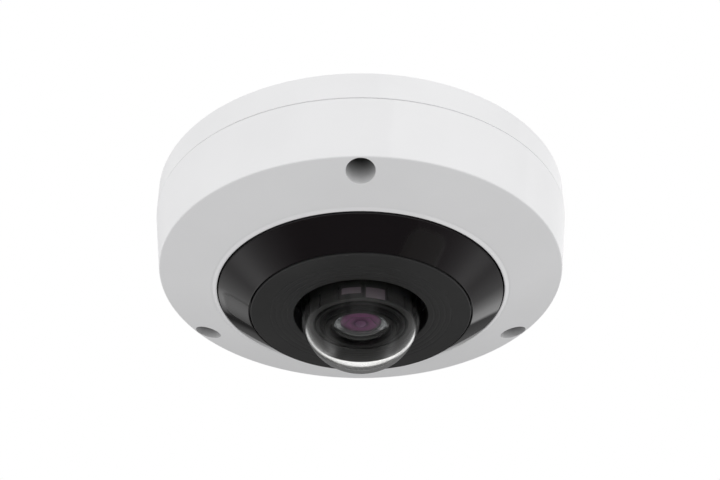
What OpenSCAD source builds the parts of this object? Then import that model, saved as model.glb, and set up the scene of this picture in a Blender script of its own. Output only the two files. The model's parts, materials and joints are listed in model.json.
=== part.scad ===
// Ceiling fisheye camera, hanging below the ceiling face.
// Millimetres, +Z up, origin at the centre of the ceiling face, lens looking down.
// A "drop" is a distance below the ceiling face.

/* [Housing] */
// Height of the mounting base
base_h = 10.5; // [9:0.1:13]
// Gap left at the seam between base and cover
seam_gap = 0.3; // [0.2:0.05:0.5]
// Thickness of the base wall
base_wall_t = 4; // [3.6:0.1:5]
// Thickness of the base floor
floor_t = 3; // [2.5:0.1:4]
// Amount that the cover's wall draws in from the seam to its edge
wall_draw = 2.65; // [1:0.05:3.5]
// Height of the cover's wall
cover_wall_h = 21.9; // [20:0.1:25]
// Thickness of the cover's wall and face
cover_t = 2.4; // [2:0.1:3]
// Drop of the cover's face from its edge to the window
face_fall = 6.4; // [5:0.1:8]

/* [Window and lens bezel] */
// Width of the cover's face
face_w = 20.85; // [19.5:0.05:22]
// Width of the window between the cover and the lens bezel
window_w = 12.35; // [11:0.05:13]
// Fall of the window from the cover to the lens bezel
window_fall = 8.65; // [7.5:0.05:10]
// Thickness of the window
window_t = 1.8; // [1.5:0.1:2.2]
// Width of the lens bezel's disc
bezel_w = 15.35; // [14.5:0.05:16]
// Gap between the cover and the window
window_gap = 0.6; // [0.3:0.05:0.8]
// Gap between the window and the lens bezel
bezel_gap = 0.5; // [0.2:0.05:0.6]
// Thickness of the lens bezel's disc
bezel_t = 2.2; // [2:0.1:3]
// Crown of the lens bezel's disc
bezel_crown = 0.2; // [0.1:0.05:0.6]

/* [Dome and lens] */
// Outer radius of the clear dome
dome_r = 21.4; // [20.5:0.1:22]
// Wall of the clear dome
dome_t = 1.1; // [1:0.1:1.5]
// Height of the dome's centre above the bezel's mouth
dome_rise = 1.3; // [1:0.1:2.5]
// Clear width between the dome and the wall of its well
well_gap = 2.4; // [1.5:0.1:3]
// Drop of the lens front face below the dome's centre
lens_fall = 5.2; // [4.4:0.1:6]
// Wall of the shroud round the lens
shroud_t = 2; // [1.6:0.1:2.2]
// Number of blocks round the shroud
shroud_blocks = 14; // [10:1:18]
// Radius of the front glass
front_glass_r = 11; // [10.4:0.1:11.2]

/* [Fixings] */
// Distance of the ceiling screws inside the rim
ceiling_inset = 15; // [14:0.5:16]
// Radius of each ceiling screw hole
ceiling_hole_r = 2.3; // [2:0.1:2.6]
// Distance of the cover screws inside the cover's edge
screw_inset = 5.3; // [5.2:0.1:5.8]
// Radius of each cover screw's pocket
pocket_r = 4.8; // [4.4:0.1:4.9]
// Radius of the cover screw's shank
screw_r = 2; // [1.8:0.1:2.1]
// Distance of the cable entry inside the rim
cable_inset = 17; // [16:0.5:17.5]
// Radius of the cable entry in the grommet
cable_r = 3.2; // [2.5:0.1:3.6]

/* [Boards] */
// Width of the main board outside its screws
board_edge_w = 8.38; // [7.5:0.01:9]
// Thickness of each board
board_t = 1.6; // [1.2:0.1:2]
// Height of the posts that carry the sensor board
sensor_post_h = 16.5; // [15:0.5:18]
// Width and depth of the network jack
jack_w = 16; // [15.5:0.1:17]
// Length of the network jack
jack_l = 21; // [19:0.5:22]
// Height of the network jack
jack_h = 13.4; // [12.5:0.1:14]
// Travel of the day and night filter
filter_travel = 9; // [8.8:0.1:9.2]

/* [Hidden] */
$fn = 96;

// Shared clearances and the overrun of every cut
fit = 0.05;
slack = 0.1;
over = 1;

// Where things stand round the axis, in degrees from +X
screw_angles = [-90, 30, 150];
ceiling_angles = [90, 210, 330];
led_angles = [180, 60, -60];
bezel_screw_angles = [0, 120, 240];
ring_screw_angles = concat(bezel_screw_angles, screw_angles);

// Radii of the outside
well_r = dome_r + well_gap;
bezel_r = well_r + bezel_w;
window_r = bezel_r + window_w;
crease_r = window_r + face_w;
seam_r = crease_r + wall_draw;
rim_r = seam_r;
ceiling_circle_r = rim_r - ceiling_inset;
cable_place = rim_r - cable_inset;

// Drops of the outside
cover_top = base_h + seam_gap;
crease_drop = cover_top + cover_wall_h;
window_drop = crease_drop + face_fall;
bezel_drop = window_drop + window_fall;
well_drop = bezel_drop + bezel_crown;
dome_drop = well_drop - dome_rise;
lens_drop = dome_drop + lens_fall;
crease_round = 0.6;
round_steps = 6;
face_slope = face_fall / (crease_r - window_r);
window_slope = window_fall / (window_r - bezel_r);

// Mounting base
back_relief = 1.2;
back_land_w = 8;
back_hub_r = 14;
back_rib_w = 3;
back_ribs = 12;
ceiling_boss_r = 7.6;
ceiling_boss_h = 2;
post_r = 3.4;
post_reach = 8.2;
post_drop = base_h + post_reach;
screw_circle_r = crease_r - screw_inset;
grommet_r = 9;
grommet_land_w = 4;

// Seal between base and cover
seal_r = 0.85;
seal_circle_r = seam_r - base_wall_t / 2 + slack;
seal_drop = cover_top - fit - seal_r;
groove_w = 2 * (seal_r + slack);

// Cable grommet
grommet_flange_w = 2;
grommet_flange_t = 2;
grommet_nose_h = 4;
grommet_nose_w = 2.6;
grommet_recess = 0.2;
grommet_tip_w = 1.4;

// Cover
window_lip_w = 1;
window_lip_h = 0.1;
window_cove_w = 1.2;
window_cove_d = 0.22;
cover_lip_t = 3.6;
cover_lip_h = 3.2;
cover_lip_taper = 2;
boss_wall_t = 1.8;
pocket_floor_t = 4;
boss_top = post_drop + seam_gap;
pocket_floor = boss_top + pocket_floor_t;
screw_head_r = 3.3;
screw_head_h = 3;
screw_socket_r = 1.7;
screw_socket_d = 1.8;
screw_l = 16;
screw_seal_t = 0.8;

// Window, its seal and its clamps
ledge_w = 5;
ledge_up = 3.5;
ledge_drop = window_drop - ledge_up;
window_seal_t = 0.5;
window_seal_w = 2;
window_flange_t = 1.6;
window_flange_w = 4.2;
window_flange_drop = ledge_drop - window_seal_t;
window_collar_in = window_r - window_gap - window_t;
clamp_pad_r = 3.2;
clamp_place = window_r + ledge_w + clamp_pad_r + slack;
clamp_seat = window_flange_drop - window_flange_t;
clip_t = 1.2;
clip_w = 8;
clip_bite = 2.4;
clip_reach = clamp_place - window_r - window_flange_w + clip_bite;
clip_screw_r = 1.2;
clip_head_r = 2.2;
clip_head_h = 1.5;
clip_skin = 0.8;
clip_screw_l = clip_t + face_at(clamp_place + clip_screw_r) - clip_skin - clamp_seat;

// Window's inner flange and the bezel that it carries
bezel_seat = bezel_drop - bezel_t;
window_inner_w = 4;
window_inner_t = 2;
window_inner_r = bezel_r - window_inner_w;
window_rise = window_t * sqrt(1 + window_slope * window_slope);
bezel_screw_r = 0.9;
bezel_screw_place = bezel_r - window_inner_w / 2;
bezel_head_r = 1.6;
bezel_head_h = 1.2;
bezel_screw_bite = 1.4;
bezel_groove_r = 26.2;
bezel_groove_pitch = 2;
bezel_grooves = 4;
bezel_groove_w = 1;
bezel_groove_d = 0.1;

// Dome, its seal and its clamp
well_t = 2.2;
dome_in = dome_r - dome_t;
dome_steps = 24;
dome_skirt_h = 6.2;
flange_bottom = dome_drop - dome_skirt_h;
flange_t = 2;
flange_top = flange_bottom - flange_t;
flange_r = well_r + well_t + 2 * slack;
dome_seal_t = 0.4;
tube_top = flange_bottom + dome_seal_t;
ring_t = 2;
ring_top = flange_top - ring_t;
ring_screw_r = 1;
ring_boss_r = 2.2;
ring_screw_place = flange_r + ring_boss_r + slack;
ring_r = ring_screw_place + ring_boss_r;
ring_overlap = 4.5;
ring_in = flange_r - ring_overlap;
ring_head_r = 1.8;
ring_head_h = 1.3;
ring_screw_l = 6;

// Boards and their posts, measured up from the lens
mount_neck_h = 2.4;
mount_h = 8;
barrel_reach = 10.3;
mount_bottom = lens_drop - barrel_reach;
sensor_board_drop = mount_bottom - mount_h;
sensor_top = sensor_board_drop - board_t;
board_bottom = sensor_top - sensor_post_h;
board_top = board_bottom - board_t;
processor_h = 1.4;
pad_t = 1;
plate_t = 2;
plate_bottom = board_top - processor_h - pad_t;
plate_top = plate_bottom - plate_t;
led_setback = 3.9;
led_top = window_drop - led_setback;
led_bottom = led_top + board_t;
led_out = window_collar_in - 2 * slack - post_r * 0.7;
led_in = ring_r + slack * 8;
led_place = (led_out + led_in) / 2;
standoff_place = led_out - post_r;
board_r = standoff_place + board_edge_w;
standoff_r = 3.2;
stud_r = 1.5;
stud_reach = 4.5;
boss_r = 4;
plate_r = standoff_place + boss_r;
led_screw_r = 1.2;
led_screw_l = 6;
led_head_r = 2.4;
led_head_h = 1.6;

// Infrared lamps
emitter_w = 3.4;
emitter_h = 1.2;
emitter_pitch = 5.6;
emitter_lens_r = 1.4;
pod_w = 14;
pod_edge = 0.5;
pod_in = led_in + 2 * pod_edge;
pod_out = window_collar_in - pod_edge;
pod_round = 3;
pod_clear = 0.6;
pod_hole_r = 2.5;
light_sensor_w = 3;
light_sensor_h = 1;

// Sensor board and image sensor
sensor_post_r = 2.5;
sensor_screw_r = 1;
sensor_screw_l = 6;
sensor_head_r = 2;
sensor_head_h = 1.3;
shroud_gap = 1.8;
shroud_r = dome_in - shroud_gap;
shroud_in = shroud_r - shroud_t;
sensor_post_place = (shroud_r + sensor_post_r + slack) / sqrt(2);
sensor_board_margin = 1.5;
sensor_board_w = 2 * (sensor_post_place + sensor_post_r + sensor_board_margin);
sensor_size = [12, 10, 1.6];
glass_size = [10.6, 8.6, 0.5];

// Lens mount and day and night filter
mount_w = 22;
mount_round = 4;
sensor_room = 1.2;
filter_roof_t = 1.2;
carriage_t = 1.8;
carriage_w = 10;
carriage_l = 18.4;
carriage_hole_r = 3.4;
filter_glass_r = 3.9;
filter_glass_t = 0.8;
carriage_top = sensor_board_drop + sensor_size.z + glass_size.z + filter_roof_t;
carriage_bottom = carriage_top + carriage_t;
thread_r = 7;
neck_wall_t = 2;
lock_ring_t = 1.8;
lock_ring_notches = 12;
lock_notch_w = 1;
lock_notch_d = 0.6;
coil_size = [8, 3.2, 5];
coil_below_board = 1;

// Lens barrel and its glass
lens_r = shroud_in - 4 * slack;
barrel_flange_t = 2.2;
barrel_neck_h = 5;
barrel_step_w = 1.2;
barrel_step_d = 0.4;
barrel_boss_r = 13.2;
barrel_boss_h = 0.9;
front_sphere_r = 24;
front_hollow_r = 18;
front_centre_t = 1.6;
front_edge_t = 1.5;
front_edge_drop = lens_drop + 3 * slack;
second_r = 7.2;
second_sphere_r = 60;
second_edge_t = 1;
second_back = 2.15;
second_bulge_r = 2.2;
second_bulge_sphere_r = 2.4;
rear_r = 3.6;
rear_sphere_r = 12;
rear_edge_t = 1.6;
rear_seat_h = 3;
bore_r = 3.1;
retainer_r = 12.4;
front_bevel_w = 0.4;
front_clear_r = front_glass_r - front_bevel_w;
retainer_in = front_clear_r + slack;
retainer_flare = 0.3;
retainer_h = 1.2;
glass_steps = 16;

// Lens shroud
shroud_slope_h = 0.1;
shroud_end = lens_drop + shroud_slope_h;
shroud_slot_w = 1.2;
shroud_slot_d = 0.7;
shroud_slot_h = 5;
shroud_slot_skip = 0.8;
shroud_turn = 2.9;

// Parts on the main board, as shares of the board's radius
jack_place_shares = [-0.23, 0.68];
transformer_place_shares = [-0.43, 0.57];
terminal_place_shares = [-0.38, -0.79];
switch_place_shares = [0.37, -0.82];
capacitor_place_shares = [[0.68, -0.38], [0.82, -0.2], [0.53, -0.53]];
inductor_place_shares = [-0.6, -0.42];
memory_place_shares = [[-0.12, 0], [0.12, 0]];
jack_wall_t = 1;
jack_mouth_h = 8.4;
jack_mouth_d = 14;
contact_count = 8;
contact_pitch = 1.1;
contact_w = 0.5;
contact_l = 9;
contact_t = 0.6;
transformer_size = [13, 10, 6];
terminal_size = [10.2, 8, 9];
terminal_hole_r = 1.5;
terminal_screw_r = 1.9;
terminal_screw_h = 2.5;
terminal_pitch = 5;
switch_size = [6, 6, 3.5];
button_r = 1.6;
button_h = 3.5;
button_travel = 0.3;
button_proud = 1.3;
capacitor_r = 3.15;
capacitor_h = 7.7;
capacitor_foot_h = 1;
inductor_size = [8, 8, 4.2];
memory_size = [9, 11, 1];
processor_w = 19;
card_size = [15, 11, 1];
card_proud = 1.5;
card_socket_wall = 0.4;
card_edge_gap = 1;
ribbon_t = 0.3;
ribbon_w = 10;
ribbon_bend = 3;
led_ribbon_w = 8;
connector_size = [14, 4, 2.4];
led_connector_size = [4, 11, 2.4];
sensor_ribbon_in_share = 0.63;
sensor_ribbon_out_share = 0.565;

// The cover face's drop at a radius
function face_at(r) = crease_drop + (crease_r - r) * face_slope;
// The window's inner surface at a radius
function window_in_at(r) = window_drop - window_rise + (window_r - r) * window_slope;
// The radius at which the window's inner surface has a drop
function window_in_r(drop) = window_r - (drop - window_drop + window_rise) / window_slope;
// The radius of the cover's outside at a drop on its wall
function wall_at(drop) = seam_r + (crease_r - seam_r) * (drop - cover_top) / cover_wall_h;
function unit(v) = v / norm(v);
// Points on an arc about a centre, as [radius, drop]
function arc(c, r, from, to, n) = [for (i = [0:n]) c + r * [cos(from + (to - from) * i / n),
    sin(from + (to - from) * i / n)]];
// Points that round the corner b between a and c
function rounded(a, b, c, r, n) =
    let (u = unit(a - b), v = unit(c - b), half = acos(u * v) / 2,
         mid = b + unit(u + v) * r / sin(half),
         first = b + u * r / tan(half) - mid, last = b + v * r / tan(half) - mid,
         a0 = atan2(first.y, first.x), turn = (atan2(last.y, last.x) - a0 + 540) % 360 - 180)
    arc(mid, r, a0, a0 + turn, n);
function reversed(list) = [for (i = [len(list) - 1:-1:0]) list[i]];

// A round slab between two drops
module slab(r, from, to) {
    translate([0, 0, -to]) cylinder(h = to - from, r = r);
}

// A tube between two drops
module tube(r_out, r_in, from, to) {
    difference() {
        slab(r_out, from, to);
        slab(r_in, from - over, to + over);
    }
}

// A solid of revolution from points given as [radius, drop]
module turned(points) {
    rotate_extrude() polygon([for (p = points) [p.x, -p.y]]);
}

// A block centred on the axis between two drops
module block(w, d, from, to) {
    translate([-w / 2, -d / 2, -to]) cube([w, d, to - from]);
}

// A block with round upright corners
module round_block(w, d, r, from, to) {
    block(w - 2 * r, d, from, to);
    block(w, d - 2 * r, from, to);
    for (x = [-1, 1], y = [-1, 1])
        translate([x * (w / 2 - r), y * (d / 2 - r), 0]) slab(r, from, to);
}

// Copies round the axis at the given angles
module around(angles, r) {
    for (a = angles) rotate([0, 0, a]) translate([r, 0, 0]) children();
}

// Places a part on the main board at shares of the board's radius
module on_board(shares) {
    translate([shares.x * board_r, shares.y * board_r, 0]) children();
}

// Places copies at the four corners of a square
module corners(half) {
    for (x = [-1, 1], y = [-1, 1]) translate([x * half, y * half, 0]) children();
}

// A socket screw whose head sits below a drop, with its shank above it
module screw_below(seat, head_r, head_h, shank_r, shank_l) {
    difference() {
        union() {
            slab(head_r, seat, seat + head_h);
            slab(shank_r, seat - shank_l, seat + head_h / 2);
        }
        translate([0, 0, -seat - head_h - over]) cylinder(h = over + head_h / 2, r = head_r / 2, $fn = 6);
    }
}

// A socket screw whose head sits above a drop, with its shank below it
module screw_above(seat, head_r, head_h, shank_r, shank_l) {
    translate([0, 0, -seat]) mirror([0, 0, 1]) screw_below(0, head_r, head_h, shank_r, shank_l);
}

// The cast base: floor, wall, screw posts and bosses
module mounting_base() {
    color("whitesmoke") difference() {
        union() {
            turned([[0, 0], [rim_r, 0], [seam_r, base_h], [seam_r - base_wall_t, base_h],
                    [rim_r - base_wall_t, floor_t], [0, floor_t]]);
            around(screw_angles, screw_circle_r) slab(post_r, floor_t / 2, post_drop);
            around(screw_angles, standoff_place) slab(boss_r, floor_t / 2, plate_top);
            around(ceiling_angles, ceiling_circle_r)
                slab(ceiling_boss_r, floor_t / 2, floor_t + ceiling_boss_h);
        }
        back_recess();
        tube(seal_circle_r + groove_w / 2, seal_circle_r - groove_w / 2,
             seal_drop - seal_r - fit, base_h + over);
        around(screw_angles, screw_circle_r)
            slab(screw_r + slack, pocket_floor - screw_l - over, post_drop + over);
        around(screw_angles, standoff_place) slab(stud_r + fit, plate_top - stud_reach, plate_top + over);
        around(ceiling_angles, ceiling_circle_r)
            slab(ceiling_hole_r, -over, floor_t + ceiling_boss_h + over);
        translate([cable_place, 0, 0]) slab(grommet_r, -over, floor_t + over);
    }
}

// The shallow recess in the back, which leaves lands, ribs and rings flush with the ceiling
module back_recess() {
    difference() {
        slab(rim_r - back_land_w, -over, back_relief);
        slab(back_hub_r, -2 * over, back_relief + over);
        around(ceiling_angles, ceiling_circle_r) slab(ceiling_boss_r, -2 * over, back_relief + over);
        translate([cable_place, 0, 0])
            slab(grommet_r + grommet_land_w, -2 * over, back_relief + over);
        for (i = [0:back_ribs - 1]) rotate([0, 0, (i + 0.5) * 360 / back_ribs])
            translate([0, -back_rib_w / 2, -back_relief - over])
                cube([rim_r, back_rib_w, back_relief + 3 * over]);
    }
}

// The round cord seal between base and cover
module cover_seal() {
    color("dimgray") translate([0, 0, -seal_drop])
        rotate_extrude() translate([seal_circle_r, 0]) circle(r = seal_r, $fn = 24);
}

// The rubber grommet that the network cable comes through
module cable_grommet() {
    plug_r = grommet_r - fit;
    nose_top = floor_t + grommet_flange_t;
    color("dimgray") translate([cable_place, 0, 0])
        turned([[cable_r, grommet_recess], [plug_r, grommet_recess], [plug_r, floor_t],
                [plug_r + grommet_flange_w, floor_t], [plug_r + grommet_flange_w, nose_top],
                [cable_r + grommet_nose_w, nose_top],
                [cable_r + grommet_tip_w, nose_top + grommet_nose_h], [cable_r, nose_top + grommet_nose_h]]);
}

// The plate that carries the boards and spreads the heat
module chassis_plate() {
    color("silver") difference() {
        slab(plate_r, plate_top, plate_bottom);
        around(screw_angles, standoff_place) slab(stud_r + slack, plate_top - over, plate_bottom + over);
    }
}

// The rings that hold the main board off the plate
module board_spacers() {
    color("gainsboro") around(screw_angles, standoff_place)
        tube(standoff_r, stud_r + slack, plate_bottom, board_top);
}

// The round main board
module main_board() {
    color("darkgreen") difference() {
        slab(board_r, board_top, board_bottom);
        around(screw_angles, standoff_place) slab(stud_r + slack, board_top - over, board_bottom + over);
    }
}

// The processor, on the upper side of the board
module processor_chip() {
    color("dimgray") block(processor_w, processor_w, board_top - processor_h, board_top);
}

// The soft pad between the processor and the plate
module thermal_pad() {
    color("lightskyblue") block(processor_w, processor_w, plate_bottom, plate_bottom + pad_t);
}

// Two memory chips on the lower side of the board
module memory_chips() {
    color("dimgray") for (p = memory_place_shares)
        on_board(p) block(memory_size.x, memory_size.y, board_bottom, board_bottom + memory_size.z);
}

// The network jack's shell, with its mouth towards +X
module network_jack() {
    color("silver") on_board(jack_place_shares) difference() {
        translate([0, -jack_w / 2, -board_bottom - jack_h]) cube([jack_l, jack_w, jack_h]);
        translate([jack_l - jack_mouth_d, -jack_w / 2 + 2 * jack_wall_t,
                   -board_bottom - jack_wall_t - jack_mouth_h])
            cube([jack_mouth_d + over, jack_w - 4 * jack_wall_t, jack_mouth_h]);
    }
}

// The spring contacts on the roof of the jack's mouth
module jack_contacts() {
    top = board_bottom + jack_wall_t;
    color("goldenrod") on_board(jack_place_shares)
        for (i = [0:contact_count - 1])
            translate([jack_l - jack_mouth_d, (i - (contact_count - 1) / 2) * contact_pitch - contact_w / 2,
                       -top - contact_t])
                cube([contact_l, contact_w, contact_t]);
}

// The transformer behind the network jack
module network_transformer() {
    color("dimgray") on_board(transformer_place_shares)
        block(transformer_size.x, transformer_size.y, board_bottom, board_bottom + transformer_size.z);
}

// The memory card's metal socket at the board's edge
module card_socket() {
    depth = card_size.x;
    width = card_size.y + 2 * (card_socket_wall + slack);
    top = board_bottom + card_socket_wall;
    color("silver") translate([-board_r + card_edge_gap, 0, 0]) difference() {
        translate([0, -width / 2, -top - card_size.z - 2 * slack - card_socket_wall])
            cube([depth, width, card_size.z + 2 * (slack + card_socket_wall)]);
        translate([-over, -width / 2 + card_socket_wall, -top - card_size.z - 2 * slack])
            cube([depth - card_socket_wall + over, width - 2 * card_socket_wall, card_size.z + 2 * slack]);
    }
}

// The removable memory card, in its socket
module memory_card() {
    top = board_bottom + card_socket_wall + slack;
    color("black") translate([-board_r + card_edge_gap - card_proud, -card_size.y / 2, -top - card_size.z])
        cube(card_size);
}

// The fixed body of the reset switch
module reset_switch_body() {
    color("dimgray") on_board(switch_place_shares) difference() {
        block(switch_size.x, switch_size.y, board_bottom, board_bottom + switch_size.z);
        slab(button_r + slack, board_bottom + switch_size.z + button_proud - button_h - 2 * button_travel,
             board_bottom + switch_size.z + over);
    }
}

// The reset button, pressed upwards
module reset_button() {
    end = board_bottom + switch_size.z + button_proud;
    color("black") on_board(switch_place_shares) slab(button_r, end - button_h, end);
}

// The two-pole terminal for a separate power supply
module power_terminal() {
    end = board_bottom + terminal_size.z;
    color("seagreen") on_board(terminal_place_shares) difference() {
        block(terminal_size.x, terminal_size.y, board_bottom, end);
        for (x = [-1, 1] * terminal_pitch / 2) translate([x, 0, 0]) {
            slab(terminal_screw_r + slack, end - terminal_screw_h, end + over);
            translate([0, 0, -board_bottom - terminal_size.z / 3]) rotate([90, 0, 0])
                cylinder(h = terminal_size.y, r = terminal_hole_r);
        }
    }
}

// The two screws of the power terminal
module terminal_screws() {
    end = board_bottom + terminal_size.z;
    color("silver") on_board(terminal_place_shares) for (x = [-1, 1] * terminal_pitch / 2)
        translate([x, 0, 0]) difference() {
            slab(terminal_screw_r, end - terminal_screw_h, end - slack);
            block(2 * terminal_screw_r + over, contact_w, end - terminal_screw_h / 3, end + over);
        }
}

// The can capacitors of the power supply
module capacitors() {
    color("lightgray") for (p = capacitor_place_shares) on_board(p) {
        block(2 * capacitor_r, 2 * capacitor_r, board_bottom, board_bottom + capacitor_foot_h);
        slab(capacitor_r, board_bottom + capacitor_foot_h / 2, board_bottom + capacitor_h);
    }
}

// The power supply's inductor
module power_inductor() {
    color("gray") on_board(inductor_place_shares)
        block(inductor_size.x, inductor_size.y, board_bottom, board_bottom + inductor_size.z);
}

// Three hexagon spacers whose studs clamp the main board and its plate to the base
module led_standoffs() {
    color("goldenrod") around(screw_angles, standoff_place) difference() {
        union() {
            translate([0, 0, -led_top]) cylinder(h = led_top - board_bottom, r = standoff_r, $fn = 6);
            slab(stud_r, plate_top - stud_reach + slack, board_bottom + slack);
        }
        slab(led_screw_r + fit, led_top - led_screw_l, led_top + over);
    }
}

// The ring board that carries the infrared lamps
module led_board() {
    color("whitesmoke") difference() {
        tube(led_out, led_in, led_top, led_bottom);
        around(screw_angles, standoff_place) slab(led_screw_r + slack, led_top - over, led_bottom + over);
    }
}

// Two infrared lamps at each of three places
module led_emitters() {
    color("khaki") around(led_angles, led_place) for (x = [-1, 1] * emitter_pitch / 2)
        translate([x, 0, 0]) {
            block(emitter_w, emitter_w, led_bottom, led_bottom + emitter_h / 2);
            slab(emitter_lens_r, led_bottom + emitter_h / 3, led_bottom + emitter_h);
        }
}

// Black pods that keep each lamp's light off the lens and end just behind the window
module led_pods() {
    pod_end = bezel_seat - window_inner_t - pod_clear;
    color("dimgray") intersection() {
        around(led_angles, (pod_in + pod_out) / 2) difference() {
            round_block(pod_out - pod_in, pod_w, pod_round, led_bottom, pod_end);
            for (x = [-1, 1] * emitter_pitch / 2) translate([x + led_place - (pod_in + pod_out) / 2, 0, 0])
                slab(pod_hole_r, led_bottom - over, pod_end + over);
        }
        turned([[0, led_bottom - over], [pod_out + over, led_bottom - over],
                [pod_out + over, window_in_at(pod_out + over) - pod_clear],
                [window_in_r(pod_end + pod_clear), pod_end],
                [window_in_r(pod_end + pod_clear), pod_end + over], [0, pod_end + over]]);
    }
}

// The screws of the lamp board
module led_board_screws() {
    color("silver") around(screw_angles, standoff_place)
        screw_below(led_bottom, led_head_r, led_head_h, led_screw_r, led_screw_l + board_t - over);
}

// The light sensor that tells day from night
module light_sensor() {
    color("lightyellow") translate([led_place, 0, 0])
        block(light_sensor_w, light_sensor_w, led_bottom, led_bottom + light_sensor_h);
}

// The flat cable from the main board to the lamp board
module led_ribbon() {
    color("ivory") translate([led_place, 0, 0])
        block(ribbon_t, led_ribbon_w, board_bottom + led_connector_size.z, led_top - led_connector_size.z);
}

// Four posts that carry the sensor board
module sensor_standoffs() {
    color("goldenrod") corners(sensor_post_place) difference() {
        slab(sensor_post_r, board_bottom, sensor_top);
        slab(sensor_screw_r + fit, sensor_top - sensor_screw_l, sensor_top + over);
    }
}

// The square sensor board
module sensor_board() {
    color("darkgreen") difference() {
        block(sensor_board_w, sensor_board_w, sensor_top, sensor_board_drop);
        corners(sensor_post_place) slab(sensor_screw_r + slack, sensor_top - over, sensor_board_drop + over);
    }
}

// The four screws of the sensor board
module sensor_board_screws() {
    color("silver") corners(sensor_post_place) screw_below(sensor_board_drop, sensor_head_r, sensor_head_h,
        sensor_screw_r, sensor_screw_l + board_t - over);
}

// The image sensor's package
module image_sensor() {
    color("dimgray")
        block(sensor_size.x, sensor_size.y, sensor_board_drop, sensor_board_drop + sensor_size.z);
}

// The cover glass of the image sensor
module sensor_glass() {
    top = sensor_board_drop + sensor_size.z;
    color("lightblue") block(glass_size.x, glass_size.y, top, top + glass_size.z);
}

// The moulded holder over the sensor, with the filter's slot and the lens thread
module lens_mount() {
    room_end = carriage_top - filter_roof_t / 2;
    color("dimgray") difference() {
        union() {
            round_block(mount_w, mount_w, mount_round, sensor_board_drop, mount_bottom);
            slab(thread_r + neck_wall_t, mount_bottom - over, mount_bottom + mount_neck_h);
        }
        block(sensor_size.x + 2 * sensor_room, sensor_size.y + 2 * sensor_room,
              sensor_board_drop - over, room_end);
        slab(carriage_hole_r + slack, room_end - over, carriage_bottom + over);
        block(mount_w + 2 * over, carriage_w + 2 * slack, carriage_top - slack, carriage_bottom + slack);
        slab(thread_r + fit, carriage_bottom, mount_bottom + mount_neck_h + over);
    }
}

// The coil that moves the filter
module filter_coil() {
    color("peru") translate([0, (mount_w + coil_size.y) / 2, 0])
        block(coil_size.x, coil_size.y, sensor_board_drop + coil_below_board,
              sensor_board_drop + coil_below_board + coil_size.z);
}

// The sliding frame of the day and night filter
module filter_carriage() {
    color("dimgray") translate([filter_travel / 2, 0, 0]) difference() {
        block(carriage_l, carriage_w, carriage_top, carriage_bottom);
        for (x = [-1, 1] * filter_travel / 2) translate([x, 0, 0]) {
            slab(carriage_hole_r, carriage_top - over, carriage_bottom + over);
            slab(filter_glass_r + fit, carriage_top - over, carriage_top + filter_glass_t);
        }
    }
}

// The glass that stops infrared light by day
module ir_cut_glass() {
    color("lightcyan") slab(filter_glass_r, carriage_top, carriage_top + filter_glass_t);
}

// The plain glass used at night
module clear_glass() {
    color("lightgray") translate([filter_travel, 0, 0])
        slab(filter_glass_r, carriage_top, carriage_top + filter_glass_t);
}

// The lens barrel, screwed into the lens mount
module lens_barrel() {
    top = carriage_bottom + 2 * slack;
    flange_top_drop = lens_drop - barrel_flange_t;
    neck_end = mount_bottom + barrel_neck_h;
    step_r = lens_r - barrel_step_w;
    seat = front_edge_drop - front_edge_t;
    second_seat = seat - second_back;
    color("dimgray") turned([[bore_r, top + rear_seat_h], [rear_r + fit, top + rear_seat_h],
        [rear_r + fit, top], [thread_r, top], [thread_r, neck_end],
        [barrel_boss_r, flange_top_drop - barrel_step_d], [lens_r, flange_top_drop], [lens_r, lens_drop],
        [step_r, lens_drop], [step_r - barrel_step_d, lens_drop - barrel_step_d],
        [barrel_boss_r, lens_drop - barrel_step_d], [barrel_boss_r, lens_drop + barrel_boss_h],
        [retainer_r + fit, lens_drop + barrel_boss_h], [retainer_r + fit, front_edge_drop],
        [front_glass_r + fit, front_edge_drop], [front_glass_r + fit, seat],
        [second_r + fit, seat], [second_r + fit, second_seat], [bore_r, second_seat]]);
}

// The nut that locks the focus of the lens
module lens_lock_ring() {
    top = mount_bottom + mount_neck_h;
    r = thread_r + neck_wall_t;
    color("gray") difference() {
        tube(r, thread_r + fit, top, top + lock_ring_t);
        for (i = [0:lock_ring_notches - 1]) rotate([0, 0, i * 360 / lock_ring_notches])
            translate([r - lock_notch_d, -lock_notch_w / 2, -top - lock_ring_t - over])
                cube([over, lock_notch_w, lock_ring_t + 2 * over]);
    }
}

// The strongly curved front glass
module front_element() {
    seat = front_edge_drop - front_edge_t;
    out_angle = asin(front_clear_r / front_sphere_r);
    apex = front_edge_drop + front_sphere_r * (1 - cos(out_angle));
    out_mid = [0, apex - front_sphere_r];
    in_mid = [0, apex - front_centre_t - front_hollow_r];
    in_angle = acos((seat - in_mid.y) / front_hollow_r);
    color("lightblue") turned(concat(
        arc(out_mid, front_sphere_r, 90, 90 - out_angle, glass_steps),
        [[front_glass_r, front_edge_drop], [front_glass_r, seat]],
        arc(in_mid, front_hollow_r, 90 - in_angle, 90, glass_steps)));
}

// The coated glass behind the front glass, with a strong curve at its middle
module second_element() {
    seat = front_edge_drop - front_edge_t - second_back;
    edge = seat + second_edge_t;
    angle = asin(second_r / second_sphere_r);
    mid = [0, edge - second_sphere_r * cos(angle)];
    bulge_angle = asin(second_bulge_r / second_sphere_r);
    bulge_side = asin(second_bulge_r / second_bulge_sphere_r);
    bulge_mid = [0, mid.y + second_sphere_r * cos(bulge_angle) - second_bulge_sphere_r * cos(bulge_side)];
    step = (angle - bulge_angle) / glass_steps;
    color("plum") turned(concat(arc(bulge_mid, second_bulge_sphere_r, 90, 90 - bulge_side, glass_steps),
        arc(mid, second_sphere_r, 90 - bulge_angle - step, 90 - angle, glass_steps - 1),
        [[second_r, seat], [0, seat]]));
}

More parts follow.
